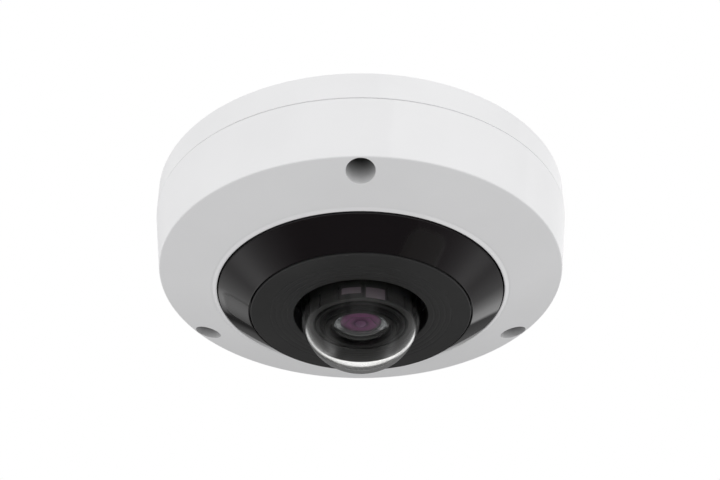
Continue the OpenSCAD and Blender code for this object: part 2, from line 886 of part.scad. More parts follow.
// The small glass nearest the sensor
module rear_element() {
    bottom = carriage_bottom + 2 * slack + rear_seat_h;
    angle = asin(rear_r / rear_sphere_r);
    edge = bottom - rear_edge_t;
    mid = [0, edge + rear_sphere_r * cos(angle)];
    color("plum") turned(concat([[0, bottom], [rear_r, bottom]],
        arc(mid, rear_sphere_r, -90 + angle, -90, glass_steps)));
}

// The threaded ring that holds the front glass
module front_retaining_ring() {
    end = front_edge_drop + retainer_h;
    color("dimgray") turned([[retainer_in, front_edge_drop], [retainer_r, front_edge_drop],
        [retainer_r, end - retainer_flare], [retainer_r - retainer_flare, end],
        [retainer_in + retainer_flare, end]]);
}

// The black shroud round the lens, with blocks round its end
module lens_shroud() {
    slot_end = shroud_end - shroud_slot_skip;
    color("dimgray") difference() {
        turned([[shroud_in, sensor_board_drop], [shroud_r, sensor_board_drop], [shroud_r, shroud_end],
                [shroud_in, lens_drop]]);
        for (i = [0:shroud_blocks - 1]) rotate([0, 0, -90 + shroud_turn + i * 360 / shroud_blocks])
            translate([shroud_r - shroud_slot_d, -shroud_slot_w / 2, -slot_end])
                cube([over, shroud_slot_w, shroud_slot_h]);
    }
}

// The flat cable from the main board to the sensor board, folded in two bends
module sensor_ribbon() {
    start = [-sensor_ribbon_out_share * board_r, board_bottom + connector_size.z];
    end = [-sensor_ribbon_in_share * sensor_board_w / 2, sensor_top - connector_size.z];
    run = (start.y + end.y) / 2;
    first = [start.x + ribbon_bend, run - ribbon_bend];
    second = [end.x - ribbon_bend, run + ribbon_bend];
    wide = ribbon_bend + ribbon_t / 2;
    tight = ribbon_bend - ribbon_t / 2;
    left = concat([start - [ribbon_t / 2, 0]], arc(first, wide, 180, 90, round_steps),
        arc(second, tight, -90, 0, round_steps), [end - [ribbon_t / 2, 0]]);
    right = concat([start + [ribbon_t / 2, 0]], arc(first, tight, 180, 90, round_steps),
        arc(second, wide, -90, 0, round_steps), [end + [ribbon_t / 2, 0]]);
    color("ivory") translate([-ribbon_w / 2, 0, 0]) rotate([90, 0, 90]) linear_extrude(ribbon_w)
        polygon([for (p = concat(left, reversed(right))) [p.x, -p.y]]);
}

// The sockets of both flat cables
module ribbon_connectors() {
    near = -sensor_ribbon_in_share * sensor_board_w / 2;
    far = -sensor_ribbon_out_share * board_r;
    color("beige") {
        translate([0, far, 0])
            block(connector_size.x, connector_size.y, board_bottom, board_bottom + connector_size.z);
        translate([0, near, 0])
            block(connector_size.x, connector_size.y, sensor_top - connector_size.z, sensor_top);
        translate([led_place, 0, 0]) {
            block(led_connector_size.x, led_connector_size.y, board_bottom,
                  board_bottom + led_connector_size.z);
            block(led_connector_size.x, led_connector_size.y, led_top - led_connector_size.z, led_top);
        }
    }
}

// The cover's outer outline, from the seam to the window's edge
function cover_outside() = concat([[seam_r, cover_top]],
    rounded([seam_r, cover_top], [crease_r, crease_drop], [window_r, window_drop], crease_round, round_steps),
    [for (p = [[window_lip_w + window_cove_w, 0], [window_lip_w + window_cove_w * 0.6, -window_cove_d],
            [window_lip_w + window_cove_w * 0.3, -window_cove_d], [window_lip_w * 0.8, window_lip_h],
            [window_lip_w * 0.3, window_lip_h], [0, -window_lip_h]])
        [window_r + p.x, face_at(window_r + p.x) + p.y]]);

// The white cover: wall, sloping face, screw pockets and the window's ledge
module front_cover() {
    rise = cover_t * sqrt(1 + face_slope * face_slope);
    ledge_r = window_r + ledge_w;
    lip_r = seam_r - cover_lip_t;
    taper_drop = cover_top + cover_lip_h + cover_lip_taper;
    inner_r = crease_r - cover_t;
    color("whitesmoke") difference() {
        union() {
            turned(concat(cover_outside(), [[window_r, ledge_drop], [ledge_r, ledge_drop],
                [ledge_r, face_at(ledge_r) - rise], [inner_r, face_at(inner_r) - rise],
                [wall_at(taper_drop) - cover_t, taper_drop], [lip_r, cover_top + cover_lip_h],
                [lip_r, cover_top]]));
            intersection() {
                around(screw_angles, screw_circle_r) slab(pocket_r + boss_wall_t, boss_top, window_drop);
                turned(concat([[0, cover_top]], cover_outside(), [[0, window_drop]]));
            }
            intersection() {
                around(ceiling_angles, clamp_place) slab(clamp_pad_r, clamp_seat, window_drop);
                turned(concat([[0, cover_top]], cover_outside(), [[0, window_drop]]));
            }
        }
        around(screw_angles, screw_circle_r) {
            slab(pocket_r, pocket_floor, window_drop + over);
            slab(screw_r + slack, boss_top - over, pocket_floor + over);
        }
        around(ceiling_angles, clamp_place) {
            slab(clip_screw_r + fit, clamp_seat - over, clamp_seat + clip_screw_l - clip_t);
            translate([-clamp_pad_r, -clip_w / 2 - slack, -clamp_seat])
                cube([2 * clamp_pad_r + slack, clip_w + 2 * slack, clip_t + over]);
        }
    }
}

// The dark window round the lens bezel, which lets infrared light through
module ir_window() {
    collar_r = window_r - window_gap;
    pocket = bezel_r + bezel_gap;
    inner_top = bezel_seat - window_inner_t;
    color("dimgray") difference() {
        turned([[collar_r, window_drop + window_gap * window_slope],
            [pocket, bezel_drop - bezel_gap * window_slope], [pocket, bezel_seat],
            [window_inner_r, bezel_seat], [window_inner_r, inner_top], [window_in_r(inner_top), inner_top],
            [window_collar_in, window_in_at(window_collar_in)],
            [window_collar_in, window_flange_drop - window_flange_t],
            [window_r + window_flange_w, window_flange_drop - window_flange_t],
            [window_r + window_flange_w, window_flange_drop], [collar_r, window_flange_drop]]);
        around(bezel_screw_angles, bezel_screw_place)
            slab(bezel_screw_r + slack, inner_top - over, bezel_seat + over);
    }
}

// The flat seal between the window and the cover
module ir_window_seal() {
    mid = window_r + (window_flange_w + slack) / 2;
    color("gray") tube(mid + window_seal_w / 2, mid - window_seal_w / 2, window_flange_drop, ledge_drop);
}

// Three clips that hold the window in the cover
module window_clamps() {
    color("silver") around(ceiling_angles, clamp_place) difference() {
        translate([-clip_reach, -clip_w / 2, -clamp_seat])
            cube([clip_reach + clamp_pad_r, clip_w, clip_t]);
        slab(clip_screw_r + slack, clamp_seat - clip_t - over, clamp_seat + over);
    }
}

// The screws of the window's clips
module window_clamp_screws() {
    color("silver") around(ceiling_angles, clamp_place)
        screw_above(clamp_seat - clip_t, clip_head_r, clip_head_h, clip_screw_r, clip_screw_l - slack);
}

// The black bezel: a disc with fine grooves, the dome's well and its clamping bosses
module lens_bezel() {
    crown = bezel_crown / (bezel_r - well_r);
    color("dimgray") difference() {
        union() {
            turned([[well_r, tube_top], [well_r + well_t, tube_top], [well_r + well_t, bezel_seat],
                    [bezel_r, bezel_seat], [bezel_r, bezel_drop], [well_r, well_drop]]);
            around(ring_screw_angles, ring_screw_place)
                slab(ring_boss_r, flange_top, bezel_seat + bezel_t / 2);
        }
        for (i = [0:bezel_grooves - 1]) let (mid = bezel_groove_r + i * bezel_groove_pitch,
                base = bezel_drop + (bezel_r - mid) * crown)
            tube(mid + bezel_groove_w / 2, mid - bezel_groove_w / 2, base - bezel_groove_d, base + over);
        around(ring_screw_angles, ring_screw_place)
            slab(ring_screw_r + fit, flange_top - over, flange_top + ring_screw_l - ring_t + slack);
        around(bezel_screw_angles, bezel_screw_place)
            slab(bezel_screw_r + fit, bezel_seat - over, bezel_seat + bezel_screw_bite + slack);
    }
}

// The screws that hold the bezel to the window
module bezel_screws() {
    color("silver") around(bezel_screw_angles, bezel_screw_place)
        screw_above(bezel_seat - window_inner_t, bezel_head_r, bezel_head_h, bezel_screw_r,
                    window_inner_t + bezel_screw_bite);
}

// The clear dome with its skirt and flange
module clear_dome() {
    mid = [0, dome_drop];
    color("lightblue") turned(concat(
        arc(mid, dome_r, 90, 0, dome_steps),
        [[dome_r, flange_bottom], [flange_r, flange_bottom], [flange_r, flange_top], [dome_in, flange_top]],
        arc(mid, dome_in, 0, 90, dome_steps)));
}

// The flat seal under the dome's flange
module dome_seal() {
    color("gray") tube(well_r + well_t - slack, well_r + slack, flange_bottom, tube_top);
}

// The ring that clamps the dome to the bezel
module dome_clamp_ring() {
    color("silver") difference() {
        tube(ring_r, ring_in, ring_top, flange_top);
        around(ring_screw_angles, ring_screw_place)
            slab(ring_screw_r + slack, ring_top - over, flange_top + over);
    }
}

// The six screws of the clamp ring
module clamp_ring_screws() {
    color("silver") around(ring_screw_angles, ring_screw_place)
        screw_above(ring_top, ring_head_r, ring_head_h, ring_screw_r, ring_screw_l);
}

// The three captive cover screws
module cover_screws() {
    color("silver") around(screw_angles, screw_circle_r) difference() {
        union() {
            slab(screw_head_r, pocket_floor + screw_seal_t, pocket_floor + screw_seal_t + screw_head_h);
            slab(screw_r, pocket_floor - screw_l, pocket_floor + screw_seal_t + screw_head_h / 2);
        }
        translate([0, 0, -pocket_floor - screw_seal_t - screw_head_h - over])
            cylinder(h = over + screw_socket_d, r = screw_socket_r, $fn = 6);
    }
}

// The washers that seal the cover screws
module screw_seals() {
    color("gray") around(screw_angles, screw_circle_r)
        tube(screw_head_r, screw_r + slack, pocket_floor, pocket_floor + screw_seal_t);
}

mounting_base();
cover_seal();
cable_grommet();
chassis_plate();
board_spacers();
main_board();
processor_chip();
thermal_pad();
memory_chips();
network_jack();
jack_contacts();
network_transformer();
card_socket();
reset_switch_body();
power_terminal();
terminal_screws();
capacitors();
power_inductor();
led_standoffs();
led_board();
led_emitters();
led_pods();
led_board_screws();
light_sensor();
led_ribbon();
sensor_standoffs();
sensor_board();
sensor_board_screws();
image_sensor();
sensor_glass();
lens_mount();
filter_coil();
lens_barrel();
lens_lock_ring();
front_element();
second_element();
rear_element();
front_retaining_ring();
lens_shroud();
sensor_ribbon();
ribbon_connectors();
filter_carriage();
ir_cut_glass();
clear_glass();
front_cover();
ir_window();
ir_window_seal();
window_clamps();
window_clamp_screws();
lens_bezel();
bezel_screws();
clear_dome();
dome_seal();
dome_clamp_ring();
clamp_ring_screws();
cover_screws();
screw_seals();
memory_card();
reset_button();
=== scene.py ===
import json
import math

import bmesh
import bpy
import numpy as np
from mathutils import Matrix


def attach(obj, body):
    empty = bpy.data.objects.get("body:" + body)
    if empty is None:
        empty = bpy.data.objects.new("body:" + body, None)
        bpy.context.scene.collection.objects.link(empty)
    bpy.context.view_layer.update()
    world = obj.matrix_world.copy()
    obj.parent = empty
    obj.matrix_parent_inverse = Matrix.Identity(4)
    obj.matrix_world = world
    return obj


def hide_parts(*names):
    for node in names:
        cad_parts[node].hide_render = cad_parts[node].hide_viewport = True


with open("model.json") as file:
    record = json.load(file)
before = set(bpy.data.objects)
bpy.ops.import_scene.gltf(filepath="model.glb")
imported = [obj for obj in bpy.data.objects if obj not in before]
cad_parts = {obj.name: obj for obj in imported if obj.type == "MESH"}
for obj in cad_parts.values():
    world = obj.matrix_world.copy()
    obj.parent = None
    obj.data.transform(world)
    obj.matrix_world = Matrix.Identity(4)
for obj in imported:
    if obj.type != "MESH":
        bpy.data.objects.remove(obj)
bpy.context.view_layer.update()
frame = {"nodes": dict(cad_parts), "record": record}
nodes = frame["nodes"]
mm = 0.001
print("frame:", len(nodes), "nodes")

# The camera: fitted to the rims and the screw pockets of the photograph. Its place is in m, its tilt up
# from level in degrees, and its lens and sensor in mm

shot = {"place": (0, -0.4147, -0.3029), "up": 33.43, "lens": 68.48, "sensor": 36,
        "shift": (-0.00097, 0.0453), "clip": 0.01}
camera = bpy.data.objects.new("camera", bpy.data.cameras.new("camera"))
bpy.context.collection.objects.link(camera)
camera.location = shot["place"]
camera.rotation_euler = (math.radians(90 + shot["up"]), 0, 0)
camera.data.sensor_fit, camera.data.sensor_width = "HORIZONTAL", shot["sensor"]
camera.data.lens = shot["lens"]
camera.data.shift_x, camera.data.shift_y = shot["shift"]
camera.data.clip_start = shot["clip"]
bpy.context.scene.camera = camera
bpy.context.scene.view_settings.view_transform = "Standard"


# Finishes

def linearColour(hexValue):
    # sRGB hex to the linear colour that a shader takes
    srgb = np.array([int(hexValue[i:i + 2], 16) for i in (1, 3, 5)]) / 255
    linear = np.where(srgb <= 0.04045, srgb / 12.92, ((srgb + 0.055) / 1.055) ** 2.4)
    return (*linear.tolist(), 1.0)


def addNode(tree, kind, settings=None, links=None):
    # settings go to the node's own properties or else to its sockets, links come from other nodes
    node = tree.nodes.new(kind)
    for key, value in (settings or {}).items():
        if isinstance(key, str) and hasattr(node, key):
            setattr(node, key, value)
        else:
            node.inputs[key].default_value = value
    for key, source in (links or {}).items():
        tree.links.new(source, node.inputs[key])
    return node


def fillRamp(ramp, stops):
    # stops are (position, colour) pairs in order; the ramp's own two take the first and the last
    first, last = ramp.elements
    first.position, first.color = stops[0]
    last.position, last.color = stops[-1]
    for position, colour in stops[1:-1]:
        ramp.elements.new(position).color = colour


def startMaterial(name):
    # a new material with an empty node tree
    material = bpy.data.materials.new(name)
    material.use_nodes = True
    material.node_tree.nodes.clear()
    return material, material.node_tree


def shaderSettings(look):
    # constants set straight on the shader, under the shader's own socket names
    names = {"metallic": "Metallic", "ior": "IOR", "specular": "Specular IOR Level",
             "coat": "Coat Weight", "transmission": "Transmission Weight", "sheen": "Sheen Weight"}
    return {socket: look[key] for key, socket in names.items() if key in look}


def pocketDepth(tree, place, pocket):
    # how deep a point lies in a screw pocket: 0 outside, the rim's share at the face, 1 at the floor
    flat = addNode(tree, "ShaderNodeMapping", {"Scale": (1, 1, 0)}, {"Vector": place}).outputs["Vector"]
    nearest = None
    for degrees in pocket["angles"]:
        turn = math.radians(degrees)
        centre = (pocket["circle"] * mm * math.cos(turn), pocket["circle"] * mm * math.sin(turn), 0)
        away = addNode(tree, "ShaderNodeVectorMath", {"operation": "DISTANCE", 1: centre},
                       {0: flat}).outputs["Value"]
        nearest = away if nearest is None else addNode(
            tree, "ShaderNodeMath", {"operation": "MINIMUM"}, {0: nearest, 1: away}).outputs[0]
    inside = addNode(tree, "ShaderNodeMath", {"operation": "LESS_THAN", 1: pocket["radius"] * mm},
                     {0: nearest}).outputs[0]
    # the face is a cone: its drop is startDrop - slope * radius, and z is minus the drop
    radius = addNode(tree, "ShaderNodeVectorMath", {"operation": "LENGTH"}, {0: flat}).outputs["Value"]
    height = addNode(tree, "ShaderNodeSeparateXYZ", None, {"Vector": place}).outputs["Z"]
    above = addNode(tree, "ShaderNodeMath", {"operation": "MULTIPLY_ADD", 1: -pocket["slope"]},
                    {0: radius, 2: height}).outputs[0]
    shadeDepth = addNode(tree, "ShaderNodeMapRange", {"From Min": -pocket["startDrop"] * mm,
                    "From Max": (pocket["deep"] - pocket["startDrop"]) * mm, "To Min": pocket["rim"]},
                    {"Value": above}).outputs["Result"]
    return addNode(tree, "ShaderNodeMath", {"operation": "MULTIPLY"}, {0: inside, 1: shadeDepth}).outputs[0]


# over these spans of a noise's values, a tone or a roughness goes from its one end to the other
noiseSpans = {"tone": (0.35, 0.65), "grain": (0.3, 0.7), "wipe": (0.35, 0.75)}


def surfaceFinish(name, look):
    # an opaque surface: two tones mixed by a slow noise, roughness that wanders with handling and
    # polish, and a fine grain as bump; grainMm and toneMm are the real sizes of a grain and of a patch
    material, tree = startMaterial(name)
    place = addNode(tree, "ShaderNodeTexCoord").outputs["Object"]
    stretched = addNode(tree, "ShaderNodeMapping", {"Scale": look.get("stretch", (1, 1, 1))},
                        {"Vector": place}).outputs["Vector"]
    patch = addNode(tree, "ShaderNodeTexNoise", {"Scale": 1 / (look.get("toneMm", 25) * mm), "Detail": 3.0},
                    {"Vector": place}).outputs["Fac"]
    tone = addNode(tree, "ShaderNodeValToRGB", None, {"Fac": patch})
    bothTones = [linearColour(look["colour"]), linearColour(look["tone"])]
    fillRamp(tone.color_ramp, list(zip(noiseSpans["tone"], bothTones)))
    grain = addNode(tree, "ShaderNodeTexNoise", {"Scale": 1 / (look["grainMm"] * mm), "Detail": 2.0},
                    {"Vector": stretched}).outputs["Fac"]
    start, end = noiseSpans["grain"]
    rough = addNode(tree, "ShaderNodeMapRange", {"From Min": start, "From Max": end,
                    "To Min": look["rough"][0], "To Max": look["rough"][1]}, {"Value": grain})
    bump = addNode(tree, "ShaderNodeBump", {"Strength": 1.0, "Distance": look["depthMm"] * mm},
                   {"Height": grain})
    colour = tone.outputs["Color"]
    # painted shade: a dark grey is mixed into the colour the deeper a point lies in a screw pocket
    if "pocket" in look:
        shadeDepth = pocketDepth(tree, place, look["pocket"])
        colour = addNode(tree, "ShaderNodeMix", {"data_type": "RGBA",
                         7: linearColour(look["pocket"]["colour"])}, {0: shadeDepth, 6: colour}).outputs[2]
    shader = addNode(tree, "ShaderNodeBsdfPrincipled", shaderSettings(look),
                     {"Base Color": colour, "Roughness": rough.outputs["Result"],
                      "Normal": bump.outputs["Normal"]})
    addNode(tree, "ShaderNodeOutputMaterial", None, {"Surface": shader.outputs["BSDF"]})
    return material


def wipedRoughness(tree, place, look):
    # roughness that wanders a little between its two values, as on a wiped surface
    wipe = addNode(tree, "ShaderNodeTexNoise", {"Scale": 1 / (look["toneMm"] * mm), "Detail": 4.0},
                   {"Vector": place}).outputs["Fac"]
    start, end = noiseSpans["wipe"]
    return addNode(tree, "ShaderNodeMapRange", {"From Min": start, "From Max": end,
                   "To Min": look["rough"][0], "To Max": look["rough"][1]}, {"Value": wipe}).outputs["Result"]


def clearFinish(name, look):
    # a clear body: light passes and bends, and lamps shine straight through it
    material, tree = startMaterial(name)
    place = addNode(tree, "ShaderNodeTexCoord").outputs["Object"]
    body = addNode(tree, "ShaderNodeBsdfPrincipled",
                   {"Base Color": linearColour(look["colour"]), **shaderSettings(look)},
                   {"Roughness": wipedRoughness(tree, place, look)})
    through = addNode(tree, "ShaderNodeBsdfTransparent", {"Color": linearColour(look["colour"])})
    path = addNode(tree, "ShaderNodeLightPath")
    mixed = addNode(tree, "ShaderNodeMixShader", None,
                    {0: path.outputs["Is Shadow Ray"], 1: body.outputs["BSDF"], 2: through.outputs["BSDF"]})
    addNode(tree, "ShaderNodeOutputMaterial", None, {"Surface": mixed.outputs["Shader"]})
    return material


opaqueLooks = {
    # die-cast aluminium under white powder coat: even and satin, with a faint orange peel
    "white_casting": {"name": "PowderCoatedCasting", "colour": "#EEEEEF", "tone": "#EBEBEC",
                      "grainMm": 0.7, "depthMm": 0.006, "rough": (0.38, 0.46), "toneMm": 40},
    # white polycarbonate moulded in a finely eroded tool: soft shine, barely any texture; painted shade
    # darkens the screw pockets towards their floor
    "white_polycarbonate": {"name": "MouldedWhitePolycarbonate", "colour": "#EEEEEF", "tone": "#EBEBEC",
                            "grainMm": 0.35, "depthMm": 0.003, "rough": (0.36, 0.44), "toneMm": 40,
                            "specular": 0.4,
                            "pocket": {"angles": (-90, 30, 150), "circle": 67.05, "radius": 4.9,
                                       "startDrop": 54.91, "slope": 0.307, "deep": 9.2, "rim": 0.2,
                                       "colour": "#585858"}},
    # black polycarbonate, satin tool finish: a dull grey sheen over black
    "black_polycarbonate": {"name": "MouldedBlackPolycarbonate", "colour": "#393939", "tone": "#3C3C3C",
                            "grainMm": 0.3, "depthMm": 0.003, "rough": (0.42, 0.52), "specular": 0.45},
    # black anodised aluminium, turned: a matt black with a fine grain, its tool marks too fine to show
    "black_anodised": {"name": "TurnedBlackAnodised", "colour": "#131313", "tone": "#181818",
                       "grainMm": 0.25, "depthMm": 0.004, "rough": (0.36, 0.5), "specular": 0.5},
    # silicone rubber: dry and dark, light falls off softly
    "silicone": {"name": "MouldedSilicone", "colour": "#2A2A2B", "tone": "#303031",
                 "grainMm": 0.4, "depthMm": 0.006, "rough": (0.62, 0.74), "sheen": 0.15},
    # filled silicone gap pad: chalky blue-grey
    "thermal_silicone": {"name": "ThermalPadSilicone", "colour": "#8C9CB4", "tone": "#8496AE",
                         "grainMm": 0.3, "depthMm": 0.01, "rough": (0.7, 0.82)},
    # epoxy chip package: dull charcoal with a sandy moulding texture
    "black_package": {"name": "EpoxyPackage", "colour": "#1C1C1D", "tone": "#222223",
                      "grainMm": 0.12, "depthMm": 0.004, "rough": (0.5, 0.62)},
    # tin-plated steel shell: bright grey, slightly cloudy
    "plated_steel": {"name": "TinPlatedSteel", "colour": "#C9CACC", "tone": "#BFC0C3", "metallic": 1.0,
                     "grainMm": 0.8, "depthMm": 0.001, "rough": (0.2, 0.34), "toneMm": 6},
    # stainless steel screws and clips: cooler grey with drawn grain
    "stainless_steel": {"name": "DrawnStainlessSteel", "colour": "#B9B9B8", "tone": "#ADADAC",
                        "metallic": 1.0, "grainMm": 0.15, "depthMm": 0.002, "rough": (0.24, 0.38),
                        "stretch": (1, 1, 6), "toneMm": 4},
    # pressed aluminium with rolling grain along one way
    "bare_aluminium": {"name": "RolledAluminium", "colour": "#D3D4D6", "tone": "#C9CBCE", "metallic": 1.0,
                       "grainMm": 1.2, "depthMm": 0.002, "rough": (0.26, 0.42), "stretch": (0.12, 3, 1),
                       "toneMm": 12},
    # turned brass posts
    "brass": {"name": "TurnedBrass", "colour": "#D6B25E", "tone": "#C9A350", "metallic": 1.0,
              "grainMm": 0.2, "depthMm": 0.002, "rough": (0.2, 0.32), "stretch": (1, 1, 5), "toneMm": 3},
    # gold-flashed contacts
    "gold_contact": {"name": "GoldFlash", "colour": "#E8C268", "tone": "#DDB459", "metallic": 1.0,
                     "grainMm": 0.2, "depthMm": 0.001, "rough": (0.16, 0.24), "toneMm": 2},
    # green polyamide terminal block
    "green_moulding": {"name": "MouldedGreenPolyamide", "colour": "#2F8A4B", "tone": "#2B8246",
                       "grainMm": 0.25, "depthMm": 0.006, "rough": (0.42, 0.54)},
    # sintered ferrite: near black, fine pores
    "ferrite": {"name": "SinteredFerrite", "colour": "#2B2B2D", "tone": "#343436",
                "grainMm": 0.15, "depthMm": 0.015, "rough": (0.55, 0.75)},
    # lamp dies under clear resin: pale straw
    "lamp_resin": {"name": "LampResin", "colour": "#E3DDB4", "tone": "#DBD3A2", "coat": 0.8,
                   "grainMm": 0.4, "depthMm": 0.001, "rough": (0.12, 0.2), "toneMm": 2},
    # stiffened film ribbon: pale and slightly glossy
    "ribbon_film": {"name": "RibbonFilm", "colour": "#DCDDD4", "tone": "#D2D3C8",
                    "grainMm": 0.5, "depthMm": 0.002, "rough": (0.28, 0.36)},
    # ivory connector moulding
    "connector_moulding": {"name": "MouldedIvoryConnector", "colour": "#DDD6BF", "tone": "#D5CDB3",
                           "grainMm": 0.2, "depthMm": 0.004, "rough": (0.42, 0.52)},
    # enamelled copper winding: turns 0.4 mm apart show as fine ridges
    "copper_coil": {"name": "EnamelledCopper", "colour": "#B4603A", "tone": "#A55431", "metallic": 1.0,
                    "grainMm": 0.4, "depthMm": 0.05, "rough": (0.26, 0.36), "stretch": (0.05, 0.05, 1)},
    # ceramic carrier of the image sensor
    "sensor_ceramic": {"name": "SensorCeramic", "colour": "#26262A", "tone": "#2C2C31",
                       "grainMm": 0.1, "depthMm": 0.002, "rough": (0.4, 0.5)},
    # bright polished aluminium: the cone round the second glass
    "polished_ring": {"name": "PolishedAluminiumRing", "colour": "#F0F0F0", "tone": "#E8E8E8",
                      "metallic": 1.0, "grainMm": 0.3, "depthMm": 0.0005, "rough": (0.1, 0.16)},
    # painted highlight: a pale greyed mauve, satin, on pads on the shroud and on the edge of the stop, where
    # reflections show
    "painted_highlight_pad": {"name": "PaintedHighlightPad", "colour": "#7A7078", "tone": "#746A72",
                  "grainMm": 0.3, "depthMm": 0.003, "rough": (0.4, 0.5)},
}
clearLooks = {
    # polished clear polycarbonate: water clear, a trace of wiping haze
    "clear_polycarbonate": {"name": "PolishedClearPolycarbonate", "colour": "#FEFEFD", "ior": 1.585,
                            "transmission": 1.0, "rough": (0.0, 0.004), "toneMm": 8},
    # polished optical glass
    "optical_glass": {"name": "PolishedOpticalGlass", "colour": "#F6F8FA", "ior": 1.62,
                      "transmission": 1.0, "rough": (0.0, 0.004), "toneMm": 5},
    # infrared cut filter: pale cyan
    "filter_glass": {"name": "FilterGlass", "colour": "#BFE0E4", "ior": 1.52, "transmission": 1.0,
                     "rough": (0.0, 0.02), "toneMm": 5},
}
finishes = {slot: surfaceFinish(look["name"], look) for slot, look in opaqueLooks.items()}
finishes.update({slot: clearFinish(look["name"], look) for slot, look in clearLooks.items()})


# on both boards: the distance in a cell is folded back at foldShare, tracks lie above trackShare of it,
# vias are dots out to viaShare of theirs, and the mask stands maskMm higher over the tracks
boardTrim = {"foldShare": 0.09, "trackShare": 0.055, "viaShare": 0.13, "tin": "#C9CBC6", "bump": 0.6,
             "maskMm": 0.03, "coat": 0.3}


def boardFinish(name, look):
    # glass-epoxy board under solder mask: tracks show as a lighter net of right-angled cells,
    # with tinned dots where the vias come through
    material, tree = startMaterial(name)
    place = addNode(tree, "ShaderNodeTexCoord").outputs["Object"]
    flat = addNode(tree, "ShaderNodeMapping", {"Scale": (1, 1, 0)}, {"Vector": place}).outputs["Vector"]
    cells = addNode(tree, "ShaderNodeTexVoronoi", {"feature": "F1", "distance": "CHEBYCHEV",
                    "Scale": 1 / (look["cellMm"] * mm)}, {"Vector": flat})
    folded = addNode(tree, "ShaderNodeMath", {"operation": "PINGPONG", 1: boardTrim["foldShare"]},
                     {0: cells.outputs["Distance"]}).outputs[0]
    track = addNode(tree, "ShaderNodeMath", {"operation": "GREATER_THAN", 1: boardTrim["trackShare"]},
                    {0: folded}).outputs[0]
    dots = addNode(tree, "ShaderNodeTexVoronoi", {"Scale": 1 / (look["viaMm"] * mm)}, {"Vector": flat})
    via = addNode(tree, "ShaderNodeMath", {"operation": "LESS_THAN", 1: boardTrim["viaShare"]},
                  {0: dots.outputs["Distance"]}).outputs[0]
    mask = addNode(tree, "ShaderNodeMix", {"data_type": "RGBA", 6: linearColour(look["colour"]),
                   7: linearColour(look["tone"])}, {0: track}).outputs[2]
    colour = addNode(tree, "ShaderNodeMix", {"data_type": "RGBA", 7: linearColour(boardTrim["tin"])},
                     {0: via, 6: mask}).outputs[2]
    bump = addNode(tree, "ShaderNodeBump",
                   {"Strength": boardTrim["bump"], "Distance": boardTrim["maskMm"] * mm}, {"Height": track})
    shader = addNode(tree, "ShaderNodeBsdfPrincipled",
                     {"Roughness": look["rough"], "Coat Weight": boardTrim["coat"]},
                     {"Base Color": colour, "Metallic": via, "Normal": bump.outputs["Normal"]})
    addNode(tree, "ShaderNodeOutputMaterial", None, {"Surface": shader.outputs["BSDF"]})
    return material


finishes["circuit_board"] = boardFinish("GreenSolderMask", {
    "colour": "#0E4A2A", "tone": "#1B6239", "cellMm": 6, "viaMm": 3.2, "rough": 0.34})
finishes["white_board"] = boardFinish("WhiteSolderMask", {
    "colour": "#DEDEDA", "tone": "#E9E9E5", "cellMm": 7, "viaMm": 4.5, "rough": 0.38})


def windowFinish(name, look):
    # smoked acrylic, flame polished: nearly black, a plum cast, sharp reflections. The bays over the
    # infrared lamps are a little duller and less plum, which their vertex attribute marks
    material, tree = startMaterial(name)
    place = addNode(tree, "ShaderNodeTexCoord").outputs["Object"]
    bay = addNode(tree, "ShaderNodeAttribute", {"attribute_name": "bay"}).outputs["Fac"]
    colour = addNode(tree, "ShaderNodeMix", {"data_type": "RGBA", 6: linearColour(look["colour"]),
                     7: linearColour(look["bayColour"])}, {0: bay}).outputs[2]
    rough = addNode(tree, "ShaderNodeMix", {3: look["bayRough"]},
                    {0: bay, 2: wipedRoughness(tree, place, look)}).outputs[0]
    shader = addNode(tree, "ShaderNodeBsdfPrincipled", shaderSettings(look),
                     {"Base Color": colour, "Roughness": rough})
    addNode(tree, "ShaderNodeOutputMaterial", None, {"Surface": shader.outputs["BSDF"]})
    return material


finishes["smoked_acrylic"] = windowFinish("SmokedAcrylic", {
    "colour": "#2A2628", "bayColour": "#2A2727", "ior": 1.49, "specular": 0.9, "bayRough": 0.3,
    "rough": (0.03, 0.07), "toneMm": 18})


def coatedFinish(name, look):
    # a glass with a magenta coating, drawn opaque: its clear coat reflects, and the coating's magenta is a
    # painted reflection, in rings of tint by the distance from the axis over the edge's, lighter in the small
    # disc at the middle, with a dark ring round that, painted light and shade
    material, tree = startMaterial(name)
    place = addNode(tree, "ShaderNodeTexCoord").outputs["Object"]
    flat = addNode(tree, "ShaderNodeMapping", {"Scale": (1, 1, 0)}, {"Vector": place}).outputs["Vector"]
    away = addNode(tree, "ShaderNodeVectorMath", {"operation": "LENGTH"}, {0: flat}).outputs["Value"]
    share = addNode(tree, "ShaderNodeMath", {"operation": "DIVIDE", 1: look["edgeMm"] * mm},
                    {0: away}).outputs[0]
    rings = addNode(tree, "ShaderNodeValToRGB", None, {"Fac": share})
    fillRamp(rings.color_ramp, [(position, linearColour(hexValue)) for position, hexValue in look["rings"]])
    shader = addNode(tree, "ShaderNodeBsdfPrincipled", {"Roughness": look["rough"], **shaderSettings(look)},
                     {"Base Color": rings.outputs["Color"]})
    addNode(tree, "ShaderNodeOutputMaterial", None, {"Surface": shader.outputs["BSDF"]})
    return material


finishes["coated_glass"] = coatedFinish("CoatedGlassPaintedReflection", {
    "edgeMm": 7.2, "rough": 0.2, "coat": 1.0,
    "rings": [(0, "#C690BC"), (0.27, "#C28CB6"), (0.31, "#744A6C"), (0.38, "#98608A"), (0.6, "#C47AAE"),
              (0.85, "#B87AA6"), (1, "#885878")]})
print("finishes:", len(finishes))


# Surfaces: points closer than a merge distance, in m, become one; flats and creases are in degrees

surface = {"turnSteps": 192, "merge": 0.5e-6, "sharp": 28, "nodeMerge": 1e-6, "nodeSharp": 30, "flat": 0.3,
           "crease": 35, "edgeSteps": 3, "weight": 80}


